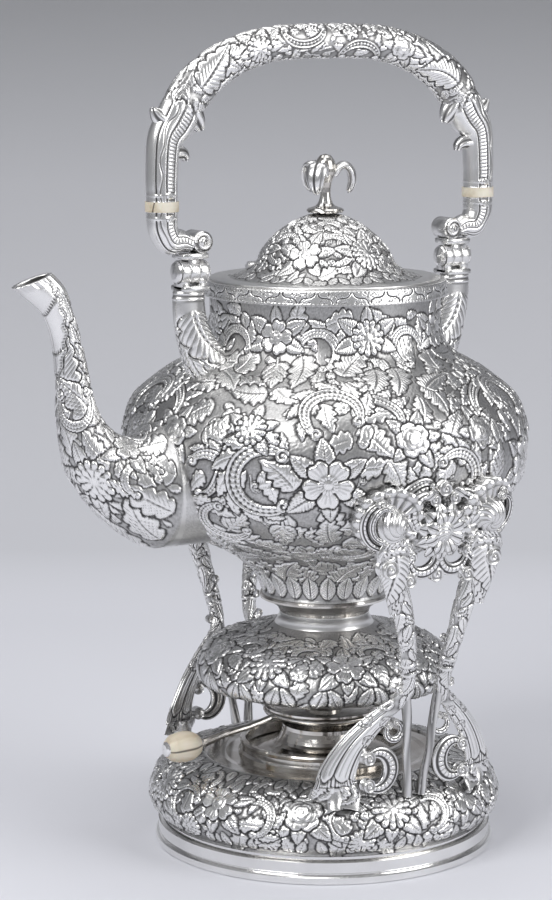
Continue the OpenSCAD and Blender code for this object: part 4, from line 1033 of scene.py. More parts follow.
def spout_sleeve(t, mean_r, phi):
    """A smooth leaf that wraps the underside up to the mouth, with a wavy edge and rows of fine ticks.

    Gives its height, and 1 where it lies.
    """
    total, s = t[-1], t[:, None]
    off = np.abs(np.mod(phi + math.pi, TAU) - math.pi)[None, :]
    rise = np.clip((s - total * 0.6) / (total * 0.34), 0, 1)
    edge = 2.05 * rise ** 0.6 + 0.1 * np.sin(s * 0.75) * np.minimum(1, 4 * rise)
    gap = (edge - off) * mean_r
    round_mm = off * mean_r
    band = bell(gap - 1.7, 0.8) * (0.5 + 0.5 * np.cos(s * 4.2))
    for cross in (0.72, 0.88):
        bow = s - total * cross + 3.5 * np.cos(off * 1.6)
        across = bell(bow - 0.9, 0.8) * (0.5 + 0.5 * np.cos(round_mm * 4.2)) + bell(bow, 0.28)
        band = np.maximum(band, across * (off < edge * 0.9))
    height = 0.9 - 0.5 * np.clip(band, 0, 1) - 0.7 * bell(gap - 0.3, 0.32)
    height = height - 0.25 * bell(off, 0.07)
    return height, np.clip(gap / 0.3 + 0.5, 0, 1) * (rise > 0)


def spout_rings(line, phi, thin, cut):
    """Rings up the spout, the first ones from the belly's surface; thin and cut set them inward."""
    a = (line[:, 3] - thin)[:, None] - cut
    b = (line[:, 4] - thin)[:, None] - cut
    turn = np.radians(line[:, 2])[:, None]
    c, sn = np.cos(phi)[None], np.sin(phi)[None]
    x, z = line[:, 0][:, None], line[:, 1][:, None]
    p = np.stack([x - a * c * np.sin(turn), b * sn, z - a * c * np.cos(turn)], 2)
    foot = p[0].copy()
    r = body_r_at(foot[:, 2]) - 2.8
    foot[:, 0] = -np.sqrt(np.maximum(1, r * r - foot[:, 1] ** 2))
    u = np.linspace(0, 1, ROOT_ROWS + 1)[:-1, None, None]
    return np.vstack([foot[None] * (1 - u) + p[:1] * u, p])


def spout_piece():
    t, line = spout_line()
    total = t[-1]
    cols = int(SPOUT_COLS / FINE)
    relief = Relief(t, (line[:, 3] + line[:, 4]) / 2, cols)
    rng = np.random.default_rng(21)
    draw_spout(relief, rng)
    h, cavity = relief.finish(rng)
    phi = np.arange(cols) * TAU / cols
    sleeve, inside = spout_sleeve(t, relief.width[:, None], phi)
    h = h * (1 - inside) + np.clip(sleeve, 0.05, 1) * inside
    cavity = cavity * (1 - inside) + np.clip(0.48 + 0.6 * (0.86 - sleeve), 0, 1) * inside
    # Near the mouth bare ground turns into soft flutes, and at the lip all of it does
    bare = np.clip((t - total * 0.8) / 6, 0, 1)[:, None] * (h < 0.34)
    u = np.maximum(bare, np.clip((t - total * 0.965) / 2, 0, 1)[:, None])
    feather = 0.84 + 0.14 * np.cos(phi * 16)[None, :] * np.ones((len(t), 1))
    h = h * (1 - u) + feather * u
    cavity = cavity * (1 - u) + LEVEL * u
    u = np.linspace(0, 1, ROOT_ROWS)[:, None]
    root = 0.42 + 0.12 * rng.uniform(-1, 1, (ROOT_ROWS, cols)) + 0.5 * bell(u - 0.85, 0.07)
    outer = spout_rings(line, phi, 0, SPOUT_DEPTH * (1 - h))
    inner = spout_rings(line, phi, SPOUT_WALL, 0)[::-1]
    rows = len(outer)
    rel = np.vstack([root, h, np.full((rows, cols), 0.7)])
    cav = np.vstack([np.full(root.shape, LEVEL), cavity, np.full((rows, cols), LEVEL)])
    faces = [grid_faces(2 * rows, cols, wrap_rows=True)[:, ::-1]]
    mesh_piece("spout_chased", "spout", np.vstack([outer, inner]).reshape(-1, 3), faces, rel, cav)


spout_piece()

# Bail handle

HINGE_X, HINGE_Z, BAIL_W, BAIL_H = 79.0, 299.0, 94.8, 121.0
DISC_Z, DISC_T = HINGE_Z + 32.7, 5.0
KNUCKLE_R, BARREL_L, PLATE_T, WEB_H = 6.0, 14.5, 2.8, 6.6


def arch_rows():
    w, t, b = BAIL_W, HINGE_Z + BAIL_H, DISC_Z + DISC_T / 2
    return [[0, 0, t - 9.4, 9.3, 7.6], [w * 0.17, 0, t - 9.6, 9.2, 7.6], [w * 0.34, 0, t - 10.8, 9.4, 7.6],
            [w * 0.52, 0, t - 15, 10, 7.8], [w * 0.69, 0, t - 22.6, 10.8, 8],
            [w * 0.83, 0, t - 34, 11.6, 8], [w * 0.925, 0, t - 48, 10.8, 7.6],
            [w * 0.985, 0, (t + b) / 2 - 14, 9, 7.6], [w, 0, b + 12, 8.4, 7.6], [w, 0, b + 5, 8.1, 7.6],
            [w, 0, b + 0.02, 8, 7.6]]


def channel(relief):
    """Smooth silver with one hatched channel between two cut lines, and a wavy line near the inner edge."""
    s = relief.along
    x = np.abs(np.mod(relief.angle, TAU) - math.pi) - QUARTER
    h = 0.93 + 0.05 * np.cos(3 * x) + 0 * s
    for line in (-0.44, 0.14, 0.86):
        h = h - 0.62 * bell(x - line, 0.05)
    h = h - 0.34 * bell(x - 0.5 - 0.1 * np.sin(s * 0.4), 0.05)
    bars = 0.72 + 0.24 * np.cos(s * 3.4)
    return np.where((x > -0.36) & (x < 0.06), bars, h)


def draw_arch(relief, rng):
    total = relief.s[-1]
    mid = total / 2
    s = relief.along
    a = relief.angle
    relief.h = GROUND + 0.12 * np.cos(2 * a) ** 2 + 0 * s
    # Column angle 0 and half a turn are the inner and outer edges, a quarter turn the faces
    for face in (QUARTER, -QUARTER):
        up = 1 if face > 0 else -1
        for end in (-1, 1):
            lay_scroll(relief, face + 0.15 * up, mid + end * 17, 33, QUARTER * end, 6.5, 7.0, 1.0, 1, 2.1,
                       up * end, 4, 8)
            flower = full_rose if end > 0 else daisy
            relief.stamp(wild_rose if end > 0 else daisy, face - 0.5 * up, mid + end * 11, 4.6, 0.4)
            spray(relief, flower, face, mid + end * 43, 7.2, (0.5, 1.6, 2.6, -0.6, -1.6, -2.6), 11, end)
            leaves = ((82, 0, 26), (76, 0.55, 22), (76, -0.6, 22), (62, 0.25, 20), (62, -0.4, 20),
                      (52, 0.8, 15), (52, -0.8, 15))
            for k, (away, off, size) in enumerate(leaves):
                turn = -QUARTER * end + 0.3 * off * end * up
                relief.stamp(acanthus, face + off, mid + end * away, size, turn, odd(k))
            relief.stamp(wild_rose, face + 0.2, mid + end * 97, 6, 0.3)
            relief.stamp(crescent, face - 0.25 * up, mid + end * 29, 6.5, QUARTER * end)
    for edge in (0, math.pi):
        for k in range(int(total * 0.64 / 10)):
            relief.stamp(acanthus, edge, total * 0.18 + k * 10, 14, QUARTER + 0.3 * odd(k), odd(k), lift=0.95)
    relief.fill(rng, (9, 6.5, 4.6), (leaf, acanthus, tendril), 800, (total * 0.17, total * 0.83))
    near_end = np.minimum(s, total - s)
    low = np.clip((total * 0.17 - near_end) / 3, 0, 1)
    band = np.maximum(channel(relief), bell(near_end - 3.0, 1.3))
    relief.h = relief.h * (1 - low) + band * low


def draw_vein(relief, rng):
    relief.h = np.clip(0.7 + 0.3 * np.cos(relief.angle * 5 + relief.along * 0.2), 0, 1)


def arch_curls():
    """Three leaves that curl off the arch: share of its half width, drop from its top, half sizes."""
    w, t = BAIL_W, HINGE_Z + BAIL_H
    tables = (((0.86, 36, 5, 6), (0.81, 44, 5, 5.6), (0.785, 49, 4.2, 4.4), (0.772, 52, 2.4, 2.6)),
              ((0.95, 50, 5, 6), (1.01, 45.5, 4.4, 5.2), (1.042, 42, 2.6, 3.4), (1.05, 40.4, 1.2, 1.8)),
              ((0.93, 62, 4, 5.5), (0.89, 62.6, 3.6, 4.6), (0.865, 64.2, 2.6, 3.4), (0.858, 66.4, 1.6, 2.2)))
    lines = [[[w * x, 0, t - drop, wide, deep] for x, drop, wide, deep in rows] for rows in tables]
    return [swept_part(rows, Y_OUT, 0.9, draw_vein, cols=56, step=0.5) for rows in lines]


half = arch_rows()
full_arch = [[-q[0], *q[1:]] for q in half[:0:-1]] + half
curls = arch_curls()
arch = swept_part(full_arch, Y_OUT, 1.5, draw_arch, cols=150, step=0.5, seed=31)
joined_piece("bail_arch_chased", "bail_arch", [arch, *curls, *[moved(c, (-1, 1, 1)) for c in curls]])


def draw_scroll(relief, rng):
    relief.h = np.maximum(channel(relief), bell(relief.along - 3.0, 1.3))


def volute(x, z, r, length):
    """A rolled scroll end: a drum whose flat ends are a spiral."""
    parts = [drum(r, length, (x, 0, z), Y_OUT, 0.9)]
    n = 60
    u = np.linspace(0, 1, n)
    rad = r * (0.82 - 0.6 * u)
    for side_of in (-1, 1):
        a = u * TAU * 1.6 + (0.6 if side_of > 0 else 0)
        y = np.full(n, side_of * (length / 2 + 0.1))
        rows = np.stack([x + rad * np.cos(a), y, z + rad * np.sin(a), np.full(n, 0.75), np.full(n, 0.6)], 1)
        parts.append(swept_part(rows, (0, side_of, 0), 0.01, plain_draw, cols=12, step=0.6, steps=2))
        hub = [(2.4, -0.2), (2.4, 0.5), (1.7, 1.0), (0.6, 1.25)]
        parts.append(turned_part(hub, (x, side_of * length / 2, z), (0, side_of, 0), 40))
    return parts


def bail_scroll_parts():
    b, top, w = DISC_Z - DISC_T / 2, HINGE_Z + WEB_H, BAIL_W
    vz = top + PLATE_T + 5.4
    lug = BARREL_L * 0.36
    rows = [[w, 0, b - 0.02, 8, 7.6], [w, 0, b - 4, 8, 7.6], [w - 0.6, 0, b - 9, 7.6, 7.4],
            [w - 4, 0, b - 14.5, 7, 7], [w - 10, 0, vz + 0.6, 5.8, 6.6], [HINGE_X + 1, 0, vz - 1.4, 4, 6.2]]
    return [
        swept_part(rows, Y_OUT, 1.1, draw_scroll, cols=110, step=0.5, seed=32),
        *volute(HINGE_X - 4, vz, 5.5, 13),
        block((HINGE_X - BARREL_L / 2, -6, top), (HINGE_X + BARREL_L / 2, 6, top + PLATE_T), 0.5),
        drum(KNUCKLE_R, lug, (HINGE_X, 0, HINGE_Z), (1, 0, 0), 0.35),
        block((HINGE_X - lug / 2, -4, HINGE_Z), (HINGE_X + lug / 2, 4, top + 0.4), 0.2)]


def pair(shape, parts):
    """The same parts on the back side and, mirrored, on the spout side."""
    for side_name, sx in (("back", 1), ("spout", -1)):
        joined_piece(f"{shape}_{side_name}_chased", f"{shape}_{side_name}_side", parts, (sx, 1, 1))


pair("bail_scroll", bail_scroll_parts())


def draw_upright(relief, rng):
    total = relief.s[-1]
    relief.h = 0.55 + 0.12 * np.cos(2 * relief.angle) + 0 * relief.along
    for face in (QUARTER, -QUARTER):
        relief.stamp(acanthus, face, total * 0.2, total * 0.72, QUARTER)
        for m in (-1, 1):
            relief.stamp(acanthus, face + 0.75 * m, total * 0.45, 22, QUARTER - 0.25 * m, m, lift=0.95)
            relief.stamp(leaf, face + 1.3 * m, total * 0.62, 15, QUARTER - 0.4 * m, lift=0.9)
    for face in (0, math.pi):
        relief.stamp(acanthus, face, total * 0.3, total * 0.6, QUARTER)
    relief.fill(rng, (9, 6), (leaf, acanthus), 240, (total * 0.5, total), upward)
    s = relief.along + 0 * relief.h
    for c in (1.5, 4.0):
        relief.h = np.maximum(relief.h, bell(s - c, 0.9))


def upright_parts():
    top = HINGE_Z - WEB_H - PLATE_T
    foot = SEAM_Z + BODY_H * 0.72
    h, lug = BARREL_L / 2, BARREL_L * 0.31
    rows = [[HINGE_X + 1, 0, top + 0.3, 8.6, 6.8], [HINGE_X + 1.2, 0, top - 6, 9.2, 6.2],
            [HINGE_X + 0.4, 0, top - 14, 9.6, 6.2], [HINGE_X - 2, 0, top - 23, 10, 6.8],
            [HINGE_X - 6, 0, top - 32, 11.4, 8], [HINGE_X - 11, 0, top - 40, 13, 9.4],
            [HINGE_X - 15, 0, foot - 3, 14, 10]]
    parts = [swept_part(rows, Y_OUT, 1.6, draw_upright, cols=130, step=0.55, seed=33),
             block((HINGE_X - h, -7, top), (HINGE_X + h, 7, top + PLATE_T), 0.5)]
    for x in (HINGE_X - h, HINGE_X + h - lug):
        parts.append(drum(KNUCKLE_R, lug, (x + lug / 2, 0, HINGE_Z), (1, 0, 0), 0.35))
        parts.append(block((x, -4, top + 1), (x + lug, 4, HINGE_Z), 0.2))
    return parts


pair("upright", upright_parts())

# Finial leaves


def draw_finial(relief, rng):
    s = relief.along
    a = relief.angle
    x = np.abs(np.abs(np.mod(a, TAU) - math.pi) - QUARTER)
    folds = 0.12 * np.cos(x * 7 + 0.15 * s)
    relief.h = np.clip(0.84 + folds - 0.55 * bell(x, 0.12) - 0.2 * bell(x - 0.8, 0.1), 0, 1)


def finial_parts():
    z = RIM_Z + LID_H
    rows = [[4.4, 0, z + 18.6, 3.6, 2.2], [7.4, 0, z + 23, 4.8, 2.3], [10.8, 0, z + 23.2, 5.5, 2.4],
            [13.2, 0, z + 19.6, 5.3, 2.4], [13.5, 0, z + 15, 4.4, 2.2], [12.3, 0, z + 11.4, 2.8, 1.7],
            [11, 0, z + 10.4, 1.3, 1.1]]
    out = [[0.2, 0, 1], [0.5, 0, 1], [1, 0, 0.9], [1, 0, 0.5], [1, 0, 0], [1, 0, -0.4], [0.9, 0, -0.8]]
    part = swept_part(rows, out, 0.8, draw_finial, cols=80, step=0.4, seed=34)
    x, y, up = part[0].T
    parts = []
    for a in (95, 215, 335):
        c, s = math.cos(deg(a)), math.sin(deg(a))
        parts.append((np.stack([x * c - y * s, x * s + y * c, up], 1), *part[1:]))
    return parts


joined_piece("finial_leaves_veined", "finial_leaves", finial_parts())

# Legs, shells and brackets of the stand

CRADLE_Z, LEG_TOP_X, ANKLE_X, ANKLE_Y, LEG_W, SHELL_W = SEAM_Z + 60, 28.5, 9.8, 88.0, 7.4, 17.5
BELLY_GAP = 0.06
ANKLE_Z = SEAM_Z - 39.5
CRADLE_Y = math.sqrt((body_r_at(CRADLE_Z) + 4) ** 2 - LEG_TOP_X ** 2)


def leg_rows():
    x1, x0, y1, y0, w = LEG_TOP_X, ANKLE_X, CRADLE_Y, ANKLE_Y, LEG_W
    s, d, f = CRADLE_Z - ANKLE_Z, DOME_TOP, ANKLE_Z - DOME_TOP
    return [
        [x1, y1, CRADLE_Z + 4, w * 0.9, 3.6], [x1 - 0.5, y1 - 1, CRADLE_Z - s * 0.12, w, 4],
        [x1 - 2, y1 - 2, CRADLE_Z - s * 0.28, w, 4.2],
        [x0 + (x1 - x0) * 0.52, y1 - 2.8, CRADLE_Z - s * 0.46, w * 0.86, 4],
        [x0 + (x1 - x0) * 0.22, y0 + (y1 - y0) * 0.6, CRADLE_Z - s * 0.68, w * 0.7, 3.8],
        [x0 + 0.7, y0 + (y1 - y0) * 0.27, CRADLE_Z - s * 0.88, w * 0.6, 3.6],
        [x0 + 3, y0 + 0.2, ANKLE_Z + 3, w * 0.58, 3.2],
        [x0 + 9.5, y0 - 3.2, ANKLE_Z - f * 0.08, w * 0.66, 2.9],
        [x0 + 18, y0 - 6.6, ANKLE_Z - f * 0.27, w * 0.8, 2.7],
        [x0 + 26, y0 - 9.8, ANKLE_Z - f * 0.5, w * 1.0, 2.6],
        [x0 + 31.6, y0 - 11.8, ANKLE_Z - f * 0.77, w * 1.3, 2.4],
        [x0 + 32.4, y0 - 12, d + 1.2, w * 1.7, 2.3], [x0 + 34.6, y0 - 11.2, d - 5.2, w * 1.8, 1.6]]


def draw_leg(relief, rng):
    """Smooth silver with scrolls and leaves down both edges, spread at the foot like a fluted skirt."""
    total = relief.s[-1]
    s = relief.along
    a = relief.angle
    relief.h = 0.4 + 0.14 * np.cos(2 * a) + 0.06 * np.cos(s * 0.9 + 3 * a)
    for face in (QUARTER, -QUARTER):
        for k in (-1.5, -0.5, 0.5, 1.5):
            relief.stamp(acanthus, face + 0.55 * k, total - 9.5, 9.5, QUARTER + 0.12 * k)
        relief.stamp(acanthus, face, total * 0.52, 16, QUARTER)
        for k in range(int(total * 0.6 / 12.5)):
            m, at_s = -odd(k), 8 + 12.5 * k
            relief.stamp(crescent, face + 0.62 * m, at_s, 4.4, 0.5 if m > 0 else math.pi - 0.5, m)
            relief.stamp(acanthus, face - 0.7 * m, at_s - 3, 13, QUARTER + 0.2 * m, m, lift=0.95)
            relief.stamp(leaf, face + 0.1 * m, at_s + 4.5, 9, QUARTER + 0.4 * m, lift=0.95)
            relief.stamp(acanthus, face + 0.2 * m, at_s - 2, 10, QUARTER - 0.3 * m, -m, lift=0.9)
        for k in range(5):
            turn = 0 if k % 2 else math.pi
            relief.stamp(crescent, face - 0.95 * odd(k), total * 0.62 + 6.5 * k, 3.3, turn)
    skirt = np.clip((s - total * 0.66) / 9, 0, 1) * np.clip((total - 4 - s) / 3, 0, 1) * ~relief.taken
    fold = np.abs(np.mod(7 * a / TAU, 1) - 0.5)
    flutes = 0.86 - 0.62 * bell(fold, 0.06) - 0.16 * bell(fold - 0.3, 0.05)
    fringe = total - 15 + 3.4 * np.abs(np.cos(3.5 * a))
    strokes = 0.6 + 0.4 * np.cos(46 * a + 2.5 * np.sin(7 * a))
    flutes = np.where(s > fringe, strokes, flutes) - 0.6 * bell(s - fringe, 0.5)
    relief.h = relief.h * (1 - skirt) + np.clip(flutes, 0, 1) * skirt
    for c in (total * 0.5, total * 0.53):
        relief.h = np.maximum(relief.h, bell(s - c, 1.2))


def rolled(at, r, length):
    """The round end of a scroll: a drum with a raised spiral on its outer face, which looks along +Y."""
    n, m = int(64 / FINE), int(24 / FINE)
    a = (np.arange(n) * TAU / n)[None]
    q = np.linspace(1, 0.03, m)[:, None]
    swirl = 0.5 + 0.5 * np.cos(q * 1.7 * TAU - a)
    face = length / 2 - 0.4 + 0.22 * r * dome(q * 0.95) + 0.7 * (swirl - 1) * np.clip(q * 3, 0, 1)
    rad = np.vstack([np.full((2, n), 1.0), q + 0 * a]) * r
    y = np.vstack([np.full((1, n), -length / 2), np.full((1, n), length / 2 - 1.2), face])
    points = np.stack([at[0] + rad * np.sin(a), at[1] + y, at[2] + rad * np.cos(a)], 2)
    ends = [[at[0], at[1] - length / 2, at[2]], [at[0], at[1] + face[-1].mean(), at[2]]]
    return closed_part(points, ends, np.vstack([np.full((2, n), PLAIN), 0.05 + 0.95 * swirl]))


def swirl_ball(centre, axis, r, lobes, twist, squash=0.9):
    """A knob of leaves wound about an axis."""
    n, m = int(150 / FINE), int(64 / FINE)
    t = np.linspace(math.pi - 0.03, 0.03, m)[:, None]
    a = (np.arange(n) * TAU / n)[None]
    wave = np.abs(np.cos(lobes / 2 * (a + twist * t))) ** 0.55
    fine = 0.5 + 0.5 * np.cos(4 * lobes * (a + twist * t))
    rad = r * (1 - 0.15 * (1 - wave) * np.sin(t) - 0.012 * fine)
    ax = unit(np.asarray(axis, float))
    u = unit(np.cross(ax, [0.0, 0, 1]))
    v = np.cross(ax, u)
    spoke = np.cos(a)[..., None] * u + np.sin(a)[..., None] * v
    along, outward = (rad * squash * np.cos(t))[..., None], (rad * np.sin(t))[..., None]
    points = np.asarray(centre, float) + along * ax + outward * spoke
    rel = np.clip(1.25 * wave * (0.8 + 0.2 * fine), 0, 1)
    return closed_part(points, [points[0].mean(0), points[-1].mean(0)], rel, end_rel=(0.8, 0.8))


def combed(relief, rng):
    """Lengthwise flutes with a row of beads down the front face."""
    x = np.mod(relief.angle, TAU) - QUARTER
    s = relief.along
    lines = 0.66 + 0.34 * np.cos(6 * x) + 0 * s
    beads = 0.35 + 0.65 * np.abs(np.cos(s * 1.35))
    relief.h = np.clip(np.where(np.abs(x) < 0.24, beads, lines), 0, 1)


def scroll_wire(cx, cy, cz, r, wire, start, sweep, knob=1.5, broad=1.0):
    """A C-scroll that lies in the XZ plane: fluted along its length, with a rolled knob at each end."""
    n = 44
    a = np.radians(np.linspace(start, start + sweep, n))
    u = np.linspace(-1, 1, n)
    w = wire * (1.25 - 0.55 * u * u)
    bend = r * (1 - 0.2 * np.abs(u) ** 3)
    wide = w * (1 + (broad - 1) * (1 - u * u))
    rows = np.stack([cx + bend * np.cos(a), np.full(n, cy), cz + bend * np.sin(a), wide, w], 1)
    parts = [swept_part(rows, Y_OUT, 0.55, combed, cols=56, step=0.45, steps=2)]
    return parts + [rolled((rows[i, 0], cy, rows[i, 2]), wire * knob, wire * 2.3) for i in (0, -1)]


def draw_shoulder(relief, rng):
    """A long leaf that hangs from the top, with shorter ones down its sides and a C-scroll over each."""
    total = relief.s[-1]
    relief.h[:] = 0.5
    face = QUARTER
    relief.stamp(acanthus, face, total * 0.8, total * 0.78, -QUARTER)
    for m in (-1, 1):
        relief.stamp(crescent, face + 0.62 * m, total * 0.8, 4.2, 0 if m > 0 else math.pi)
        for k in range(5):
            s0 = total * 0.72 - 6 * k
            relief.stamp(acanthus, face + 0.3 * m, s0, 12, -QUARTER + 0.6 * m, -m, lift=0.95)
        relief.stamp(acanthus, face + 1.5 * m, total * 0.7, 20, -QUARTER, m, lift=0.9)
    for k in range(5):
        relief.stamp(acanthus, face + 0.2 * (k - 2), total * 0.83, 7, QUARTER - 0.2 * (k - 2))


def draw_toe_painted_shade(relief, rng):
    # Low relief, lower on one side, so the toe takes the dark colour: painted shade.
    a = relief.angle
    relief.h = np.clip(0.16 + 0.12 * np.cos(3 * a + relief.along * 0.16) + 0.16 * np.cos(a - 0.4), 0.0, 1)


def leg_parts():
    x0, y0, a, d = ANKLE_X, ANKLE_Y, ANKLE_Z, DOME_TOP
    f = a - d
    out = [[0, 1, 0.05]] * 7 + [[0.1 + 0.06 * i, 1, 0.1 + 0.1 * i] for i in range(6)]
    toe = [[x0 + 0.6, y0 + 0.8, a + 6, 3.6, 3.2], [x0 - 1.6, y0 - 0.4, a - f * 0.12, 3, 3],
           [x0 - 2.6, y0 - 1.6, a - f * 0.36, 2.7, 2.8], [x0 - 3, y0 - 2.8, a - f * 0.6, 2.6, 2.7],
           [x0 - 4.8, y0 - 4.4, a - f * 0.85, 2.8, 2.8], [3.8, y0 - 6.2, 41.5, 3.1, 3.6]]
    parts = [swept_part(leg_rows(), out, 1.3, draw_leg, cols=130, step=0.45, seed=41),
             swept_part(toe, [[0, 1, 0.1]], 0.8, draw_toe_painted_shade, cols=48, step=0.5)]
    x1, y1, z1 = LEG_TOP_X, CRADLE_Y, CRADLE_Z
    parts += scroll_wire(x0 + 14.6, y0 - 5.2, d + f * 0.245, 9.8, 2.0, 62, 236, 1.7, 1.9)
    parts += scroll_wire(x0 + 4, y0 - 3.6, a - f * 0.3, 5.0, 1.5, 100, 300, 1.2)
    parts += scroll_wire(x1 - 5.4, y1 + 1.2, z1 - 20.5, 6.6, 1.6, 150, 190, 1.5, 1.3)
    parts.append(rolled((x1 + 2, y1 + 1.5, z1 - 27), 4.6, 7))
    parts.append(rolled((x1 - 11.2, y1 - 0.8, z1 - 34.5), 3.6, 6))
    shoulder = [[x1 - 3.5, y1 - 0.4, z1 - 50, 3.2, 2], [x1 - 3, y1 + 1.2, z1 - 40, 6, 2.4],
                [x1 - 2, y1 + 2.2, z1 - 29, 8.6, 2.4], [x1 - 1, y1 + 2.6, z1 - 19, 9.6, 2.2],
                [x1 - 0.6, y1 + 3, z1 - 13.5, 6.5, 1.8]]
    parts.append(swept_part(shoulder, Y_OUT, 1.1, draw_shoulder, cols=90, step=0.45, seed=43))
    for k in range(3):
        parts.append(rolled((x0 + 5.5 - 1.5 * k, y0 + 2.6, ANKLE_Z + 9 + 11 * k), 2.3, 3.6))
    stud = [(4.8, 0), (4.8, 6.5), (3.6, 9), (3.8, 11.2)]
    parts.append(turned_part(stud, (x0 + 32, y0 - 13.5, 39.0), (0, 0, 1), 40))
    return parts


def shell_mid(z):
    return body_r_at(CRADLE_Z) + 3.4 + (z - CRADLE_Z) * 0.22


def off_belly(part):
    """What would reach into the kettle's belly is laid on its surface."""
    points = part[0].copy()
    r = np.hypot(points[:, 0], points[:, 1])
    points[:, :2] *= (np.maximum(r, body_r_at(points[:, 2]) + BELLY_GAP) / r)[:, None]
    return (points, *part[1:])


def shell_parts():
    """A lobed fan against the belly, a wound knob in front of it and a scroll round the knob."""
    z0 = CRADLE_Z - 5
    phi0 = math.atan2(CRADLE_Y, LEG_TOP_X)

    def place(x, z, r):
        phi = phi0 - x / r
        return np.stack([r * np.cos(phi), r * np.sin(phi), z + 0 * phi], -1)

    w, nv = int(320 / FINE), int(48 / FINE)
    a = np.arange(w) * TAU / w
    top = np.maximum(0, np.sin(a))[None]
    v = np.linspace(0.04, 1, nv)[:, None]
    flutes = np.abs(np.cos(8.5 * a))[None] ** 0.6
    fan = SHELL_W * v * (0.88 + 0.08 * np.sin(a) + 0.09 * v ** 4 * (flutes - 0.3))
    x, z = fan * np.cos(a) * 1.08, z0 + fan * np.sin(a)
    dish = 2.6 + 3.75 * v ** 1.5 * (0.35 + 0.65 * top)
    swell = np.clip(np.sin(math.pi * np.clip(v * 0.9 + 0.02, 0, 1)), 0.12, 1)
    rim = 0.6 * bell(v - 0.9, 0.05)
    front_r = shell_mid(z) + dish + 1.2 * swell - 2.4 * swell * (1 - flutes) + rim * flutes
    front_r = front_r - 9 * np.maximum(0, v - 0.93)
    back_r = np.maximum(body_r_at(z) + BELLY_GAP, shell_mid(z) - 6)
    points = np.concatenate([place(x, z, front_r), place(x, z, back_r)[::-1]])
    rel = np.clip(flutes * (0.42 + 0.3 * v + rim) - 0.5 * bell(v - 0.8, 0.03), 0, 1)
    rel = np.vstack([rel, np.full(rel.shape, 0.6)])
    parts = [closed_part(points, [points[0].mean(0), points[-1].mean(0)], rel, end_rel=(PLAIN, 0.8))]
    radial = np.array([math.cos(phi0), math.sin(phi0), 0.0])
    inward = np.array([-math.sin(phi0), math.cos(phi0), 0.0])
    knob = place(np.array(0.0), np.array(z0 - 1.0), shell_mid(z0) + 1.6)
    parts.append(swirl_ball(knob, radial + 0.6 * inward - np.array([0, 0, 0.45]), 10.2, 8, 1.7, 0.92))
    for reach, lift, wire, first, last in ((13.2, 5.2, 1.9, -95, 62), (10.2, 8.6, 1.3, -70, 80)):
        b = np.radians(np.linspace(first, last, 30))
        u = np.linspace(-1, 1, 30)
        bend = reach * (1 - 0.14 * np.abs(u) ** 3)
        zz = z0 + bend * np.sin(b)
        rows = np.hstack([place(bend * np.cos(b) + 0.5, zz, shell_mid(zz) + lift),
                          np.stack([wire * (1.25 - 0.5 * u * u)] * 2, 1)])
        parts.append(swept_part(rows, [radial], 0.5, combed, cols=44, step=0.45, steps=2))
        parts += [rolled(rows[i, :3], wire * 1.45, wire * 2.2) for i in (0, -1)]
    return [off_belly(part) for part in parts]


def draw_petal(relief, rng):
    a = np.mod(relief.angle, TAU)
    lines = 0.12 * np.cos((a - QUARTER) * 9)
    relief.h = np.clip(0.78 + lines - 0.5 * bell(a - QUARTER, 0.1) + 0 * relief.along, 0, 1)


def bracket_parts():
    """C-scrolls, leaves and knobs round a flower of two rows of petals, leant against the belly."""
    z0, y0, lean = CRADLE_Z - 11, CRADLE_Y + 2, deg(9)
    w = LEG_TOP_X - LEG_W + 1
    parts = []
    for m in (-1, 1):
        x = m * w * 0.42
        parts += scroll_wire(x, 0.2, -12, 8.8, 2.1, 178 if m < 0 else 112, 250, 1.5, 1.35)
        parts += scroll_wire(x, 0.2, 10.4, 8.6, 2.1, 60 if m < 0 else -130, 250, 1.5, 1.35)
        for cx, cz, ax, az, size in ((18, 2, 4.2, 6, 3), (6, 20.5, 5, -3.4, 2.6), (12, -19.5, 4, -4.4, 2.4)):
            rows = [[m * cx, 0.4, cz, size * 0.5, 1.1],
                    [m * (cx + ax * 0.45), 1.6, cz + az * 0.4, size, 1.2],
                    [m * (cx + ax * 0.85), 1.8, cz + az * 0.8, size * 0.8, 1.1],
                    [m * (cx + ax), 0.8, cz + az, size * 0.3, 0.8]]
            parts.append(swept_part(rows, Y_OUT, 0.6, draw_petal, cols=40, step=0.45))
    parts.append(rolled((0, -0.2, -22), 4.2, 4.6))
    parts.append(rolled((0, -0.2, 21.3), 3.8, 4.4))
    rounds = ((11, 0.1, 5.5, 13.9, 3.5, 1.4, 2.9), (8, 0.4, 4.5, 10.8, 3.2, 3.4, 4.9))
    for count, first, r0, r1, wide, low, high in rounds:
        petal = ((r0 - 2, low, wide * 0.45), (r0 + (r1 - r0) * 0.35, high, wide * 0.9),
                 (r0 + (r1 - r0) * 0.72, high + 0.2, wide), (r1, low + 0.4, wide * 0.55),
                 (r1 + 0.5, low - 0.4, wide * 0.2))
        for k in range(count):
            c, s = math.cos(first + TAU * k / count), math.sin(first + TAU * k / count)
            rows = [[r * c, y, r * s, half, 0.9] for r, y, half in petal]
            parts.append(swept_part(rows, Y_OUT, 0.55, draw_petal, cols=36, step=0.45))
    disc = [(12.4, -1.2), (12.4, 0.2), (9, 1.0), (2, 1.4)]
    parts.append(turned_part(disc, (0, 0, 0), Y_OUT, 60, 0.1))
    parts.append(swirl_ball((0, 2.7, 0), (0.3, 1, -0.25), 6.3, 10, 1.2, 0.68))
    leant = []
    for points, *others in parts:
        x, y, z = points.T
        spot = [x, y0 + y * math.cos(lean) + z * math.sin(lean), z0 + z * math.cos(lean) - y * math.sin(lean)]
        leant.append(off_belly((np.stack(spot, 1), *others)))
    return leant


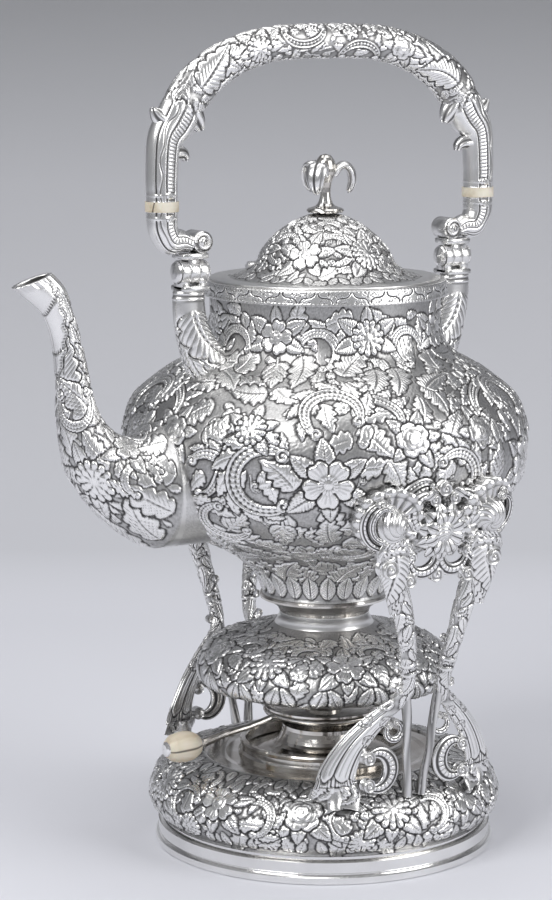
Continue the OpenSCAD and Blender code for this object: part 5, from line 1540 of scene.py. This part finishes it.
leg, shell, bracket = leg_parts(), shell_parts(), bracket_parts()
for sy, end_name in ((-1, "front"), (1, "back")):
    for sx, side_name in ((-1, "left"), (1, "right")):
        for shape, parts in (("leg", leg), ("shell", shell)):
            node = f"{shape}_{end_name}_{side_name}"
            joined_piece(node + "_cast", node, parts, (sx, sy, 1))
    node = "bracket_" + end_name
    joined_piece(node + "_cast", node, bracket, (1, sy, 1))

# Materials on the solids that stay

TARNISHED = ("lamp_stage", "gallery_ring", "lamp_font", "lamp_top", "lamp_rod", "burner_collar",
             "kettle_waist", "finial_stem")
for name, node in frame["nodes"].items():
    kind = SLOT_OF[name]
    if name in TARNISHED:
        kind = "silver_tarnished"
    elif kind in ("silver_chased", "silver_cast"):
        kind = "silver_plain"
    node.data.materials.clear()
    node.data.materials.append(MATERIALS[kind])

# Floor, backdrop, lights

# Backdrop colour by height: pale floor, and a wall that grows darker upwards as painted shade.
WALL_SHADE_TONES = [(0.0, (0.672, 0.677, 0.723)), (0.02, (0.553, 0.558, 0.591)), (0.27, (0.419, 0.422, 0.445)),
              (0.42, (0.264, 0.267, 0.279))]
FLOOR_END, BEND_R, HALF_WIDTH = 0.5, 0.6, 3.0


def backdrop():
    """Floor that curves up into a wall, paler below, with painted shade darkening the wall upwards; it faces
    the camera.
    """
    n = 40
    profile = [(-3.0, 0.0), (FLOOR_END, 0.0)]
    for k in range(1, n):
        a = k / n * QUARTER
        profile.append((FLOOR_END + BEND_R * math.sin(a), BEND_R * (1 - math.cos(a))))
    profile += [(1.1, 0.8), (1.1, 2.6)]
    forward = Vector((HEADING_X, HEADING_Y, 0))
    across = Vector((HEADING_Y, -HEADING_X, 0))
    sides = (-HALF_WIDTH, HALF_WIDTH)
    verts = [forward * d + across * w + Vector((0, 0, z)) for d, z in profile for w in sides]
    faces = [(2 * i, 2 * i + 1, 2 * i + 3, 2 * i + 2) for i in range(len(profile) - 1)]
    mesh = bpy.data.meshes.new("backdrop")
    mesh.from_pydata(verts, [], faces)
    mesh.polygons.foreach_set("use_smooth", [True] * len(faces))
    obj = bpy.data.objects.new("backdrop", mesh)
    scene.collection.objects.link(obj)
    m, tree, shader = new_material("backdrop")
    shader.inputs["Roughness"].default_value = 0.9
    geo = add(tree, "ShaderNodeNewGeometry")
    split = add(tree, "ShaderNodeSeparateXYZ")
    tree.links.new(geo.outputs["Position"], split.inputs["Vector"])
    # The colour ramp by height paints the shade up the wall.
    tree.links.new(ramp(tree, split.outputs["Z"], WALL_SHADE_TONES), shader.inputs["Base Color"])
    mesh.materials.append(m)


backdrop()
CENTRE = Vector((0, 0, 0.22))
for name, at, size, power in (
        ("key_soft", (-1.3, -0.5, 1.35), (0.9, 0.9), 18), ("fill_soft", (0.75, -1.35, 0.9), (1.0, 1.2), 14),
        ("top_soft", (0.0, 0.1, 1.7), (1.4, 1.4), 11), ("back_soft", (0.9, 1.0, 0.9), (0.8, 0.8), 7)):
    light = bpy.data.lights.new(name, "AREA")
    light.shape = "RECTANGLE"
    light.size, light.size_y = size
    light.energy = power
    obj = bpy.data.objects.new(name, light)
    obj.location = at
    obj.rotation_euler = (CENTRE - Vector(at)).to_track_quat("-Z", "Y").to_euler()
    scene.collection.objects.link(obj)
world = bpy.data.worlds.new("world")
scene.world = world
world.use_nodes = True
sky = world.node_tree.nodes["Background"]
sky.inputs["Color"].default_value = (0.75, 0.76, 0.79, 1)
sky.inputs["Strength"].default_value = 0.4
scene.view_settings.view_transform = "Standard"
